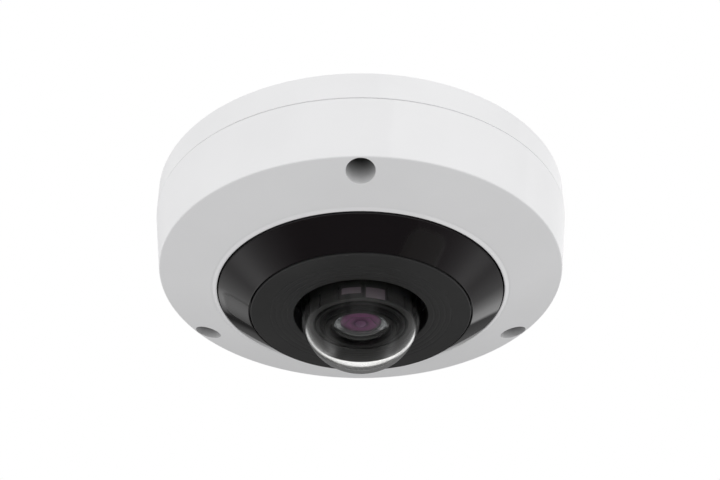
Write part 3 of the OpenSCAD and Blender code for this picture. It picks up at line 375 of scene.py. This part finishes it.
def roundedLoop(corners, steps):
    # each corner is [radius, drop, fillet] in mm; a fillet is the arc that touches both sides, whose
    # centre lies on the corner's bisector at fillet / sin(half the corner's angle)
    count, points = len(corners), []
    for i, (radius, drop, fillet) in enumerate(corners):
        here = np.array([radius, drop], float)
        if not fillet:
            points.append(here[None])
            continue
        back = np.array(corners[i - 1][:2], float) - here
        ahead = np.array(corners[(i + 1) % count][:2], float) - here
        back, ahead = back / np.linalg.norm(back), ahead / np.linalg.norm(ahead)
        half = math.acos(np.clip(back @ ahead, -1, 1)) / 2
        middle = here + (back + ahead) / np.linalg.norm(back + ahead) * fillet / math.sin(half)
        first = here + back * fillet / math.tan(half) - middle
        last = here + ahead * fillet / math.tan(half) - middle
        turn = math.acos(np.clip(first @ last / fillet ** 2, -1, 1))
        part = np.linspace(0, 1, steps + 1)[:, None]
        swung = (np.sin((1 - part) * turn) * first + np.sin(part * turn) * last) / math.sin(turn)
        points.append(middle + swung)
    return np.concatenate(points)


def filledLoop(loop, gap):
    # points are added along the loop wherever two of them lie further apart than the gap
    ends = np.roll(loop, -1, axis=0)
    counts = np.maximum(1, np.ceil(np.linalg.norm(ends - loop, axis=1) / gap).astype(int))
    return np.concatenate([a + (b - a) * (np.arange(n) / n)[:, None] for a, b, n in zip(loop, ends, counts)])


def arcPoints(centreDrop, radius, fromDegrees, toDegrees, steps):
    # points of a circle on the axis, as [radius, drop]; 0 degrees is sideways, 90 is straight down
    angle = np.radians(np.linspace(fromDegrees, toDegrees, steps + 1))
    return np.stack([radius * np.cos(angle), centreDrop + radius * np.sin(angle)], axis=1)


def turned(loop, angles=None):
    # the closed loop carried round the axis: x = radius cos(angle), y = radius sin(angle), z = -drop
    if angles is None:
        angles = np.linspace(0, 2 * np.pi, surface["turnSteps"], endpoint=False)
    radius, drop = loop[:, :1], loop[:, 1:]
    grid = np.stack([radius * np.cos(angles), radius * np.sin(angles), -drop + 0 * angles], axis=-1)
    return grid * mm


def gridFaces(rows, columns, start):
    # quads between neighbours of a grid that closes both ways
    i, j = np.meshgrid(np.arange(rows), np.arange(columns), indexing="ij")
    a, b = i * columns + j, (i + 1) % rows * columns + j
    c, d = (i + 1) % rows * columns + (j + 1) % columns, i * columns + (j + 1) % columns
    return np.stack([a, b, c, d], axis=-1).reshape(-1, 4) + start


def makePiece(name, grids, finish, body, slot, *replaced, bay=None):
    # grids, each closed both ways, become the shells of one mesh; bay holds a value for each point
    points = np.concatenate([g.reshape(-1, 3) for g in grids])
    starts = np.cumsum([0] + [g.shape[0] * g.shape[1] for g in grids[:-1]])
    faces = np.concatenate([gridFaces(g.shape[0], g.shape[1], s) for g, s in zip(grids, starts)])
    mesh = bpy.data.meshes.new(name)
    mesh.from_pydata(points.tolist(), [], faces.tolist())
    if bay is not None:
        layer = mesh.attributes.new("bay", "FLOAT", "POINT")
        layer.data.foreach_set("value", bay.astype(np.float32).ravel())
    finishPiece(name, mesh, finish, body, slot, *replaced)


def finishPiece(name, mesh, finish, body, slot, *replaced, sharp=surface["sharp"]):
    # the mesh is merged, its faces turned outwards and shaded smooth but for its creases, and its
    # object gets its body and the nodes that it replaces
    shape = bmesh.new()
    shape.from_mesh(mesh)
    bmesh.ops.remove_doubles(shape, verts=shape.verts, dist=surface["merge"])
    bmesh.ops.recalc_face_normals(shape, faces=shape.faces)
    shape.to_mesh(mesh)
    shape.free()
    mesh.shade_smooth()
    mesh.set_sharp_from_angle(angle=math.radians(sharp))
    mesh.materials.append(finish)
    piece = bpy.data.objects.new(name, mesh)
    bpy.context.collection.objects.link(piece)
    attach(piece, body)
    if replaced:
        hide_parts(*replaced)
    return piece


def edgedCopy(name, node, finish, body, slot, edgeMm):
    # the node's own surface, merged, its flat areas joined, with every crease given a small round
    source = nodes[node].data
    points = np.empty(len(source.vertices) * 3)
    source.vertices.foreach_get("co", points)
    corners = np.empty(len(source.loops), dtype=np.int64)
    source.loops.foreach_get("vertex_index", corners)
    mesh = bpy.data.meshes.new(name)
    mesh.from_pydata(points.reshape(-1, 3).tolist(), [], corners.reshape(-1, 3).tolist())
    shape = bmesh.new()
    shape.from_mesh(mesh)
    bmesh.ops.remove_doubles(shape, verts=shape.verts, dist=surface["nodeMerge"])
    bmesh.ops.dissolve_limit(shape, angle_limit=math.radians(surface["flat"]), verts=shape.verts,
                             edges=shape.edges)
    shape.to_mesh(mesh)
    shape.free()
    piece = finishPiece(name, mesh, finish, body, slot, node, sharp=surface["nodeSharp"])
    bevel = piece.modifiers.new("edges", "BEVEL")
    bevel.width, bevel.segments = edgeMm * mm, surface["edgeSteps"]
    bevel.limit_method, bevel.angle_limit = "ANGLE", math.radians(surface["crease"])
    even = piece.modifiers.new("shading", "WEIGHTED_NORMAL")
    even.keep_sharp, even.weight = True, surface["weight"]


# Housing: the white cover and the base, both with softened edges

housing = {"coverEdgeMm": 0.3, "baseEdgeMm": 0.25}
edgedCopy("cover_shell", "front_cover", finishes["white_polycarbonate"], "cover", "white_polycarbonate",
          housing["coverEdgeMm"])
edgedCopy("base_shell", "mounting_base", finishes["white_casting"], "base", "white_casting",
          housing["baseEdgeMm"])
print("housing done")

# Infrared window: a cone with a shallow raised bay over each bank of lamps

window = {"radius": 50.9, "edgeDrop": 39.52, "bezelRadius": 39.65, "bezelDrop": 47.4, "seatDrop": 45.55,
          "innerRadius": 35.15, "innerTop": 43.55, "wall": 1.8, "flangeRadius": 55.7, "flangeDrop": 35.1,
          "flangeTop": 33.5, "collarIn": 49.1, "bayAngles": (178.5, 58.5, -61.5), "bayEnds": (34.0, 49.0),
          "bayWidth": 14.4, "bayRound": 4.5, "bayRise": 0.07, "bayEdge": 1.8,
          "coneGap": 0.3, "gap": 3.0, "near": 0.02, "steps": 720}
slope = (window["bezelDrop"] - window["edgeDrop"]) / (window["radius"] - window["bezelRadius"])
rise = window["wall"] * math.hypot(1, slope)
innerStart = window["radius"] - (window["innerTop"] - window["edgeDrop"] + rise) / slope
windowLoop = roundedLoop([
    [window["radius"], window["edgeDrop"], 0.25], [window["bezelRadius"], window["bezelDrop"], 0.15],
    [window["bezelRadius"], window["seatDrop"], 0], [window["innerRadius"], window["seatDrop"], 0.2],
    [window["innerRadius"], window["innerTop"], 0.2], [innerStart, window["innerTop"], 0.4],
    [window["collarIn"], window["edgeDrop"] - rise + (window["radius"] - window["collarIn"]) * slope, 0.4],
    [window["collarIn"], window["flangeTop"], 0.2], [window["flangeRadius"], window["flangeTop"], 0.2],
    [window["flangeRadius"], window["flangeDrop"], 0.2], [window["radius"], window["flangeDrop"], 0.2]],
    4)
windowAngles = np.linspace(0, 2 * np.pi, window["steps"], endpoint=False)


def onWindowCone(loop):
    # whether each point lies on the outer cone, whose drop grows by the slope as the radius shrinks
    return np.abs(loop[:, 1] - window["edgeDrop"] - (window["radius"] - loop[:, 0]) * slope) < window["near"]


# only the outer cone needs close points, for its bays
bothOn = onWindowCone(windowLoop) & np.roll(onWindowCone(windowLoop), -1)
windowLoop = filledLoop(windowLoop, np.where(bothOn, window["coneGap"], window["gap"]))
# a bay is a rounded rectangle in plan: its mask falls from 1 to 0 across its edge
bay = np.zeros((len(windowLoop), len(windowAngles)))
for centre in np.radians(window["bayAngles"]):
    along = windowLoop[:, :1] * np.cos(windowAngles - centre) - sum(window["bayEnds"]) / 2
    across = windowLoop[:, :1] * np.sin(windowAngles - centre)
    halfLong = (window["bayEnds"][1] - window["bayEnds"][0]) / 2 - window["bayRound"]
    halfWide = window["bayWidth"] / 2 - window["bayRound"]
    off = np.hypot(np.maximum(np.abs(along) - halfLong, 0), np.maximum(np.abs(across) - halfWide, 0))
    share = np.clip(0.5 - (off - window["bayRound"]) / window["bayEdge"], 0, 1)
    ownSide = windowLoop[:, :1] * np.cos(windowAngles - centre) > 0
    bay = np.maximum(bay, share * share * (3 - 2 * share) * ownSide)
bay *= onWindowCone(windowLoop)[:, None]
lean = math.atan(slope)
outward = np.stack([math.sin(lean) * np.cos(windowAngles), math.sin(lean) * np.sin(windowAngles),
                    -math.cos(lean) + 0 * windowAngles], axis=-1)
grid = turned(windowLoop, windowAngles) + bay[:, :, None] * outward * window["bayRise"] * mm
makePiece("infrared_window", [grid], finishes["smoked_acrylic"], "cover", "smoked_acrylic", "ir_window",
          bay=bay)
print("window done")

# Lens bezel: crowned disc and well in one, four shallow grooves round the well, screw bosses behind

bezel = {"radius": 39.15, "drop": 47.75, "seat": 45.55, "wellRadius": 23.8, "wellDrop": 47.95,
         "wellTop": 40.85, "wellOut": 26.0, "groove": 26.2, "pitch": 2.0, "grooves": 4, "grooveWidth": 1.0,
         "grooveDepth": 0.1, "bossRadius": 2.2, "bossPlace": 28.5, "bossTop": 38.45,
         "bossSink": 0.6, "bossAngles": (0, 120, 240, -90, 30, 150), "bossSteps": 24,
         "gap": 0.1, "faceDepth": 0.05, "rim": 0.6}
bezelLoop = roundedLoop([
    [bezel["wellRadius"], bezel["wellTop"], 0.2], [bezel["wellOut"], bezel["wellTop"], 0.2],
    [bezel["wellOut"], bezel["seat"], 0.3], [bezel["radius"], bezel["seat"], 0.2],
    [bezel["radius"], bezel["drop"], 0.45], [bezel["wellRadius"], bezel["wellDrop"], 0.5]], 8)
bezelLoop = filledLoop(bezelLoop, bezel["gap"])
# a groove takes depth * cos^2 off the face, half its width each side of its middle
onFace = (bezelLoop[:, 1] > bezel["drop"] - bezel["faceDepth"]) \
    & (bezelLoop[:, 0] < bezel["radius"] - bezel["rim"])
middles = bezel["groove"] + bezel["pitch"] * np.arange(bezel["grooves"])
near = np.abs(bezelLoop[:, :1] - middles).min(axis=1) / (bezel["grooveWidth"] / 2)
bezelLoop[:, 1] -= onFace * bezel["grooveDepth"] * np.cos(np.minimum(near, 1) * np.pi / 2) ** 2
bossLoop = roundedLoop([[0, bezel["bossTop"], 0], [bezel["bossRadius"], bezel["bossTop"], 0.15],
                        [bezel["bossRadius"], bezel["seat"] + bezel["bossSink"], 0],
                        [0, bezel["seat"] + bezel["bossSink"], 0]], 3)
bosses = []
for turn in np.radians(bezel["bossAngles"]):
    boss = turned(bossLoop, np.linspace(0, 2 * np.pi, bezel["bossSteps"], endpoint=False))
    boss[..., 0] += bezel["bossPlace"] * mm * math.cos(turn)
    boss[..., 1] += bezel["bossPlace"] * mm * math.sin(turn)
    bosses.append(boss)
makePiece("bezel_disc", [turned(bezelLoop)] + bosses, finishes["black_polycarbonate"], "cover",
          "black_polycarbonate", "lens_bezel")
print("bezel done")

# Clear dome: a hemisphere on a short skirt with the flange that its seal and clamp hold

dome = {"radius": 21.4, "centre": 46.65, "inRadius": 20.3, "flangeDrop": 40.45, "flangeTop": 38.45,
        "flangeRadius": 26.2, "steps": 72}
domeLoop = np.concatenate([
    arcPoints(dome["centre"], dome["radius"], 90, 0, dome["steps"]),
    roundedLoop([[dome["radius"], dome["centre"], 0], [dome["radius"], dome["flangeDrop"], 0.4],
                 [dome["flangeRadius"], dome["flangeDrop"], 0.2],
                 [dome["flangeRadius"], dome["flangeTop"], 0.2], [dome["inRadius"], dome["flangeTop"], 0.2],
                 [dome["inRadius"], dome["centre"], 0]], 5)[1:-1],
    arcPoints(dome["centre"], dome["inRadius"], 0, 90, dome["steps"])])
makePiece("dome_shell", [turned(domeLoop)], finishes["clear_polycarbonate"], "cover", "clear_polycarbonate",
          "clear_dome")

# Shroud round the lens: slots part its side into blocks, and two of them carry a pad whose paler colour is a
# painted reflection

shroud = {"radius": 18.5, "wall": 2.0, "top": 36.0, "end": 51.95, "inEnd": 51.85, "blocks": 14, "turn": -87.1,
          "blockSteps": 14, "gap": 0.3, "near": 0.01, "slotWidth": 1.2, "slotDepth": 0.7, "slotTop": 46.15,
          "slotLead": 0.1, "slotEnd": 51.15, "slotShares": (-0.94, -0.5, 0, 0.5, 0.94), "padTop": 47.5,
          "padEnds": (51.6, 49.9), "padInset": 1.35, "padRise": 0.06, "padSink": 0.1, "padSteps": 13}
shroudLoop = filledLoop(roundedLoop([
    [shroud["radius"], shroud["top"], 0], [shroud["radius"], shroud["slotTop"], 0],
    [shroud["radius"], shroud["end"], 0.25], [shroud["radius"] - shroud["wall"], shroud["inEnd"], 0.25],
    [shroud["radius"] - shroud["wall"], shroud["top"], 0]], 5), shroud["gap"])
# the ring's angles: even steps across each block, and five across each slot
halfSlot = shroud["slotWidth"] / shroud["radius"] / 2
blockAngle = 2 * np.pi / shroud["blocks"]
slotMiddles = math.radians(shroud["turn"]) + blockAngle * np.arange(shroud["blocks"])
acrossBlock = halfSlot + np.linspace(0, 1, shroud["blockSteps"]) * (blockAngle - 2 * halfSlot)
acrossSlot = halfSlot * np.array(shroud["slotShares"])
shroudAngles = (slotMiddles[:, None] + np.concatenate([acrossSlot, acrossBlock])).ravel()
inSlot = np.tile(np.arange(len(acrossSlot) + len(acrossBlock)) < len(acrossSlot), shroud["blocks"])
onSide = (shroudLoop[:, 0] > shroud["radius"] - shroud["near"]) \
    & (shroudLoop[:, 1] > shroud["slotTop"] + shroud["slotLead"]) & (shroudLoop[:, 1] < shroud["slotEnd"])
grid = turned(shroudLoop, shroudAngles)
grid[..., :2] *= 1 - (onSide[:, None] * inSlot)[..., None] * shroud["slotDepth"] / shroud["radius"]
makePiece("shroud_ring", [grid], finishes["black_polycarbonate"], "base", "black_polycarbonate",
          "lens_shroud")
padOut, padIn = shroud["radius"] + shroud["padRise"], shroud["radius"] - shroud["padSink"]
acrossPad = np.linspace(shroud["padInset"] * halfSlot, blockAngle - shroud["padInset"] * halfSlot,
                        shroud["padSteps"])
pads = []
for middle, padEnd in zip(slotMiddles[[0, -1]], shroud["padEnds"]):
    pad = turned(np.array([[padOut, shroud["padTop"]], [padOut, padEnd], [padIn, padEnd],
                           [padIn, shroud["padTop"]]]), middle + acrossPad)
    # each end is closed by a row gathered on the pad's middle line
    inner = pad.mean(axis=0)
    pads.append(np.concatenate([inner[None, :1].repeat(4, axis=0), pad,
                                inner[None, -1:].repeat(4, axis=0)], axis=1))
makePiece("shroud_highlight_pads", pads, finishes["painted_highlight_pad"], "base", "black_polycarbonate")

# Lens: barrel front, retaining ring, glasses, each a lathe shape about the axis

lens = {"drop": 51.85, "radius": 15.7, "step": 14.5, "stepWidth": 0.4, "stepDrop": 51.4, "boss": 13.2,
        "bossDrop": 52.75, "play": 0.03, "bite": 0.02, "ringRadius": 12.4, "ringEnd": 53.35, "ringGap": 0.1,
        "ringSlope": 0.3, "edgeDrop": 52.15, "edgeRadius": 11.0, "clearRadius": 10.6, "sphere": 24.0,
        "seat": 50.65, "hollow": 18.0, "middle": 1.6, "secondRadius": 7.2, "secondSphere": 60.0,
        "secondSeat": 48.5, "secondEdge": 1.0, "bulge": 2.2, "bulgeSphere": 2.4, "bore": 3.1, "neck": 7.0,
        "neckDrop": 46.0, "coneOut": 8.9, "coneDrop": 49.72, "coneSkin": (0.01, 0.03), "flange": 49.65,
        "top": 38.0, "steps": 32, "bulgeSteps": 16}
# the barrel overlaps the front glass's edge and seat by the bite, so that no two faces coincide, and
# leaves its play round the retaining ring and the second glass
ringBore, edgeBore = lens["ringRadius"] + lens["play"], lens["edgeRadius"] - lens["bite"]
glassSeat, secondBore = lens["seat"] + lens["bite"], lens["secondRadius"] + lens["play"]
barrelLoop = roundedLoop([
    [lens["bore"], lens["top"], 0], [lens["neck"], lens["top"], 0], [lens["neck"], lens["neckDrop"], 0.3],
    [lens["boss"], lens["flange"], 0.3], [lens["radius"], lens["flange"], 0.2],
    [lens["radius"], lens["drop"], 0.35], [lens["step"], lens["drop"], 0.12],
    [lens["step"] - lens["stepWidth"], lens["stepDrop"], 0.1], [lens["boss"], lens["stepDrop"], 0.1],
    [lens["boss"], lens["bossDrop"], 0.15], [ringBore, lens["bossDrop"], 0.08],
    [ringBore, lens["edgeDrop"], 0], [edgeBore, lens["edgeDrop"], 0], [edgeBore, glassSeat, 0],
    [lens["coneOut"], glassSeat, 0], [secondBore, lens["coneDrop"], 0],
    [secondBore, lens["secondSeat"], 0], [lens["bore"], lens["secondSeat"], 0]], 5)
makePiece("barrel_front", [turned(barrelLoop)], finishes["black_anodised"], "base", "black_anodised",
          "lens_barrel")
# the seat is cut to a cone towards the second glass, and its polished skin catches light on two sides
skinIn, skinOut = lens["coneSkin"]
coneLoop = np.array([[secondBore + skinIn, lens["coneDrop"] + skinIn], [lens["coneOut"], glassSeat + skinIn],
                     [lens["coneOut"], glassSeat + skinOut],
                     [secondBore + skinIn, lens["coneDrop"] + skinOut]])
makePiece("bright_cone", [turned(coneLoop)], finishes["polished_ring"], "base", "bare_aluminium")
ringIn = lens["clearRadius"] + lens["ringGap"]
ringLoop = roundedLoop([
    [ringIn, lens["edgeDrop"], 0], [lens["ringRadius"], lens["edgeDrop"], 0],
    [lens["ringRadius"], lens["ringEnd"], 0.3], [ringIn + lens["ringSlope"], lens["ringEnd"], 0.15]], 6)
makePiece("retaining_ring", [turned(ringLoop)], finishes["black_anodised"], "base", "black_anodised",
          "front_retaining_ring")
# the front glass: a sphere outside, a smaller one hollowed out inside, and middle thick on the axis
outAngle = math.degrees(math.asin(lens["clearRadius"] / lens["sphere"]))
apex = lens["edgeDrop"] + lens["sphere"] * (1 - math.cos(math.radians(outAngle)))
hollowCentre = apex - lens["middle"] - lens["hollow"]
inAngle = math.degrees(math.acos((lens["seat"] - hollowCentre) / lens["hollow"]))
frontLoop = np.concatenate([
    arcPoints(apex - lens["sphere"], lens["sphere"], 90, 90 - outAngle, lens["steps"]),
    [[lens["edgeRadius"], lens["edgeDrop"]], [lens["edgeRadius"], lens["seat"]]],
    arcPoints(hollowCentre, lens["hollow"], 90 - inAngle, 90, lens["steps"])])
makePiece("front_lens", [turned(frontLoop)], finishes["optical_glass"], "base", "optical_glass",
          "front_element")
# the second glass: a wide and nearly flat sphere with a small steep bulge at its middle
secondAngle = math.degrees(math.asin(lens["secondRadius"] / lens["secondSphere"]))
bulgeAngle = math.degrees(math.asin(lens["bulge"] / lens["secondSphere"]))
secondCentre = lens["secondSeat"] + lens["secondEdge"] \
    - lens["secondSphere"] * math.cos(math.radians(secondAngle))
bulgeSide = math.degrees(math.asin(lens["bulge"] / lens["bulgeSphere"]))
bulgeCentre = secondCentre + lens["secondSphere"] * math.cos(math.radians(bulgeAngle)) \
    - lens["bulgeSphere"] * math.cos(math.radians(bulgeSide))
secondLoop = np.concatenate([
    arcPoints(bulgeCentre, lens["bulgeSphere"], 90, 90 - bulgeSide, lens["bulgeSteps"]),
    arcPoints(secondCentre, lens["secondSphere"], 90 - bulgeAngle, 90 - secondAngle, lens["steps"])[1:],
    [[lens["secondRadius"], lens["secondSeat"]], [0, lens["secondSeat"]]]])
makePiece("second_lens", [turned(secondLoop)], finishes["coated_glass"], "base", "coated_glass",
          "second_element")

# Stop edge: a fine bead behind the front glass, a hexagon in plan and round in section, whose pale colour is
# a painted highlight line. The bead's reach from a side is its radius, so from a corner it is radius / cos(30
# degrees)

stop = {"corner": 6.2, "drop": 50.95, "bead": 0.1, "sides": 6, "steps": 8}
corners = np.linspace(0, 2 * np.pi, stop["sides"], endpoint=False)
section = np.linspace(0, 2 * np.pi, stop["steps"], endpoint=False)
out = stop["corner"] + stop["bead"] * np.cos(section)[:, None] / math.cos(math.pi / stop["sides"])
grid = np.stack([out * np.cos(corners), out * np.sin(corners),
                 -stop["drop"] + stop["bead"] * np.sin(section)[:, None] + 0 * corners], axis=-1) * mm
makePiece("stop_edge", [grid], finishes["painted_highlight_pad"], "base", "black_anodised")
print("dome and lens done")

# The carried-over nodes take the finish of their own slot

slotOf = {part["node"]: part["material_slot"] for part in frame["record"]["subparts"]}
for node, shown in nodes.items():
    for place in shown.material_slots:
        place.material = finishes[slotOf[node]]
print("nodes finished")

# Stage: a pale floor far below the ceiling, which only the camera sees

stage = {"drop": 1.6, "size": 60.0, "grey": 0.95}
half = stage["size"] / 2
floorMesh = bpy.data.meshes.new("floor")
floorCorners = [(x * half, y * half, -stage["drop"]) for x, y in ((-1, -1), (1, -1), (1, 1), (-1, 1))]
floorMesh.from_pydata(floorCorners, [], [(0, 1, 2, 3)])
floorMaterial, tree = startMaterial("PaperFloor")
sheet = addNode(tree, "ShaderNodeBsdfDiffuse", {"Color": (stage["grey"],) * 3 + (1,)})
addNode(tree, "ShaderNodeOutputMaterial", None, {"Surface": sheet.outputs["BSDF"]})
floorMesh.materials.append(floorMaterial)
floor = bpy.data.objects.new("floor", floorMesh)
bpy.context.collection.objects.link(floor)
floor.visible_diffuse = floor.visible_glossy = floor.visible_transmission = False

# Surround: the world lights matt faces softly, and shiny and clear faces mirror a studio. A direction is
# a unit vector: x to the right, y away from the photo's camera, z up. Levels are (place, brightness), and
# an eased change is its start, its end, and the level before and after

surround = {"nadir": 0.46, "skyline": 1.1, "above": 1.06, "sides": 1.16, "front": 1.05,
            "horizon": (-0.1, 0.1, 0.0, 1.0), "rising": (-0.95, -0.1, 0.06, 1.0),
            "behind": (-0.2, 0.6, 0.12, 1.0), "raised": (-0.6, -0.4, 0.0, 1.0),
            "lowSide": (0.3, 0.68, 0.35, 1.0), "skyward": (0.28, 0.4, 1.0, 1.35),
            "sideLevels": ((0, 1.0), (0.5, 1.0), (0.62, 0.4), (0.83, 0.24), (1, 0.18)),
            "leftLevels": ((0, 1.0), (0.3, 1.0), (0.36, 0.35), (0.44, 0.35), (0.5, 0.7), (0.585, 1.6),
                           (0.66, 1.4), (0.8, 1.0), (1, 1.0)),
            "screenWide": 0.42, "screenTop": 0.62, "deepTop": 0.352, "deepFrom": 3,
            "screenEdge": (1.06, 0.95), "screenLevel": 0.15}
world = bpy.data.worlds.new("surround")
bpy.context.scene.world = world
world.use_nodes = True
world.node_tree.nodes.clear()
tree = world.node_tree
away = addNode(tree, "ShaderNodeSeparateXYZ", None,
               {"Vector": addNode(tree, "ShaderNodeTexCoord").outputs["Generated"]}).outputs
height = away["Z"]
path = addNode(tree, "ShaderNodeLightPath").outputs
squareX, squareZ = [addNode(tree, "ShaderNodeMath", {"operation": "MULTIPLY"},
                            {0: away[axis], 1: away[axis]}).outputs[0] for axis in "XZ"]
aside = addNode(tree, "ShaderNodeMath", {"operation": "SQRT"}, {0: squareX}).outputs[0]
eased = {}
for name, measure in (("horizon", height), ("rising", height), ("behind", away["Y"]), ("raised", height),
                      ("lowSide", aside), ("skyward", height)):
    start, end, before, after = surround[name]
    eased[name] = addNode(tree, "ShaderNodeMapRange", {
        "interpolation_type": "SMOOTHSTEP", "From Min": start, "From Max": end, "To Min": before,
        "To Max": after}, {"Value": measure}).outputs["Result"]

# soft light: brightness from straight below to the horizon is nadir + (skyline - nadir) (1 - z^2),
# then the level above, with more from the sides and a little more from the front
low = addNode(tree, "ShaderNodeMapRange", {"To Min": surround["skyline"], "To Max": surround["nadir"]},
              {"Value": squareZ}).outputs["Result"]
soft = addNode(tree, "ShaderNodeMix", {3: surround["above"]}, {0: eased["horizon"], 2: low}).outputs[0]
sides = addNode(tree, "ShaderNodeMapRange", {"To Min": 1.0, "To Max": surround["sides"]},
                {"Value": squareX}).outputs["Result"]
front = addNode(tree, "ShaderNodeMapRange", {"From Min": -1.0, "To Min": surround["front"],
                "To Max": 2 - surround["front"]}, {"Value": away["Y"]}).outputs["Result"]
for factor in (sides, front):
    soft = addNode(tree, "ShaderNodeMath", {"operation": "MULTIPLY"}, {0: soft, 1: factor}).outputs[0]

# the studio: dark straight below and in front, bright at the back, and brighter still near the top. Low
# down it is dimmer in the middle, higher up it is dimmer towards the two sides
outward = addNode(tree, "ShaderNodeValToRGB", None, {"Fac": aside})
fillRamp(outward.color_ramp, [(place, (level, level, level, 1)) for place, level in surround["sideLevels"]])
toSide = addNode(tree, "ShaderNodeMix", None,
                 {0: eased["raised"], 2: eased["lowSide"], 3: outward.outputs["Color"]}).outputs[0]
mirrored = eased["rising"]
for factor in (eased["behind"], toSide, eased["skyward"]):
    mirrored = addNode(tree, "ShaderNodeMath", {"operation": "MULTIPLY"}, {0: mirrored, 1: factor}).outputs[0]

# a dark screen stands low at the front and at the back, an ellipse in x and z above the horizon and
# straight below it. A ray that has passed more than deepFrom clear faces, as in the lens, sees it lower
deep = addNode(tree, "ShaderNodeMath", {"operation": "GREATER_THAN", 1: surround["deepFrom"]},
               {0: path["Transmission Depth"]}).outputs[0]
top = addNode(tree, "ShaderNodeMix", {2: surround["screenTop"], 3: surround["deepTop"]},
              {0: deep}).outputs[0]
screenX = addNode(tree, "ShaderNodeMath", {"operation": "DIVIDE", 1: surround["screenWide"]},
                  {0: aside}).outputs[0]
aboveHorizon = addNode(tree, "ShaderNodeMath", {"operation": "MAXIMUM", 1: 0.0}, {0: height}).outputs[0]
screenZ = addNode(tree, "ShaderNodeMath", {"operation": "DIVIDE"}, {0: aboveHorizon, 1: top}).outputs[0]
spot = addNode(tree, "ShaderNodeCombineXYZ", None, {"X": screenX, "Y": screenZ}).outputs["Vector"]
far = addNode(tree, "ShaderNodeVectorMath", {"operation": "LENGTH"}, {0: spot}).outputs["Value"]
inScreen = addNode(tree, "ShaderNodeMapRange", {
    "interpolation_type": "SMOOTHSTEP", "From Min": surround["screenEdge"][0],
    "From Max": surround["screenEdge"][1]}, {"Value": far}).outputs["Result"]
inScreen = addNode(tree, "ShaderNodeMath", {"operation": "MULTIPLY"},
                   {0: inScreen, 1: eased["raised"]}).outputs[0]
mirrored = addNode(tree, "ShaderNodeMix", {3: surround["screenLevel"]},
                   {0: inScreen, 2: mirrored}).outputs[0]

# reflections alone see the left side differently: less near the middle, more further out
leftX = addNode(tree, "ShaderNodeMath", {"operation": "MULTIPLY", 1: -1.0}, {0: away["X"]}).outputs[0]
leftward = addNode(tree, "ShaderNodeValToRGB", None, {"Fac": leftX})
fillRamp(leftward.color_ramp, [(place, (level, level, level, 1)) for place, level in surround["leftLevels"]])
gain = addNode(tree, "ShaderNodeMix", {2: 1.0},
               {0: path["Is Glossy Ray"], 3: leftward.outputs["Color"]}).outputs[0]
mirrored = addNode(tree, "ShaderNodeMath", {"operation": "MULTIPLY"}, {0: mirrored, 1: gain}).outputs[0]

# shiny and clear faces take the studio, but rays that light a matt face take the soft light, also those
# that leave it through a clear piece; the camera itself sees plain white
shiny = addNode(tree, "ShaderNodeMath", {"operation": "MAXIMUM"},
                {0: path["Is Glossy Ray"], 1: path["Is Transmission Ray"]}).outputs[0]
first = addNode(tree, "ShaderNodeMath", {"operation": "LESS_THAN", 1: 1.0},
                {0: path["Diffuse Depth"]}).outputs[0]
shiny = addNode(tree, "ShaderNodeMath", {"operation": "MULTIPLY"}, {0: shiny, 1: first}).outputs[0]
level = addNode(tree, "ShaderNodeMix", None, {0: shiny, 2: soft, 3: mirrored}).outputs[0]
level = addNode(tree, "ShaderNodeMix", {3: 1.0}, {0: path["Is Camera Ray"], 2: level}).outputs[0]
back = addNode(tree, "ShaderNodeBackground", {"Color": (1, 1, 1, 1)}, {"Strength": level})
addNode(tree, "ShaderNodeOutputWorld", None, {"Surface": back.outputs["Background"]})

# Lamp: one long soft lamp to the right, at an azimuth and an elevation in degrees as seen from its aim

strip = {"azimuth": 20, "elevation": 23, "aim": (0, 0, -0.05), "distance": 0.9, "width": 0.6,
         "height": 0.04, "radiance": 0.5}
azimuth, elevation = math.radians(strip["azimuth"]), math.radians(strip["elevation"])
toLamp = np.array([math.cos(elevation) * math.cos(azimuth), math.cos(elevation) * math.sin(azimuth),
                   math.sin(elevation)])
light = bpy.data.lights.new("right", "AREA")
light.shape, light.size, light.size_y = "RECTANGLE", strip["width"], strip["height"]
light.energy = strip["radiance"] * math.pi * strip["width"] * strip["height"]
lamp = bpy.data.objects.new("right", light)
bpy.context.collection.objects.link(lamp)
lamp.location = (np.array(strip["aim"]) + toLamp * strip["distance"]).tolist()
# the lamp shines along its -Z, so its Z points away from the aim
lamp.rotation_euler = (math.radians(90) - elevation, 0, azimuth + math.radians(90))
print("stage, surround and lamp done")
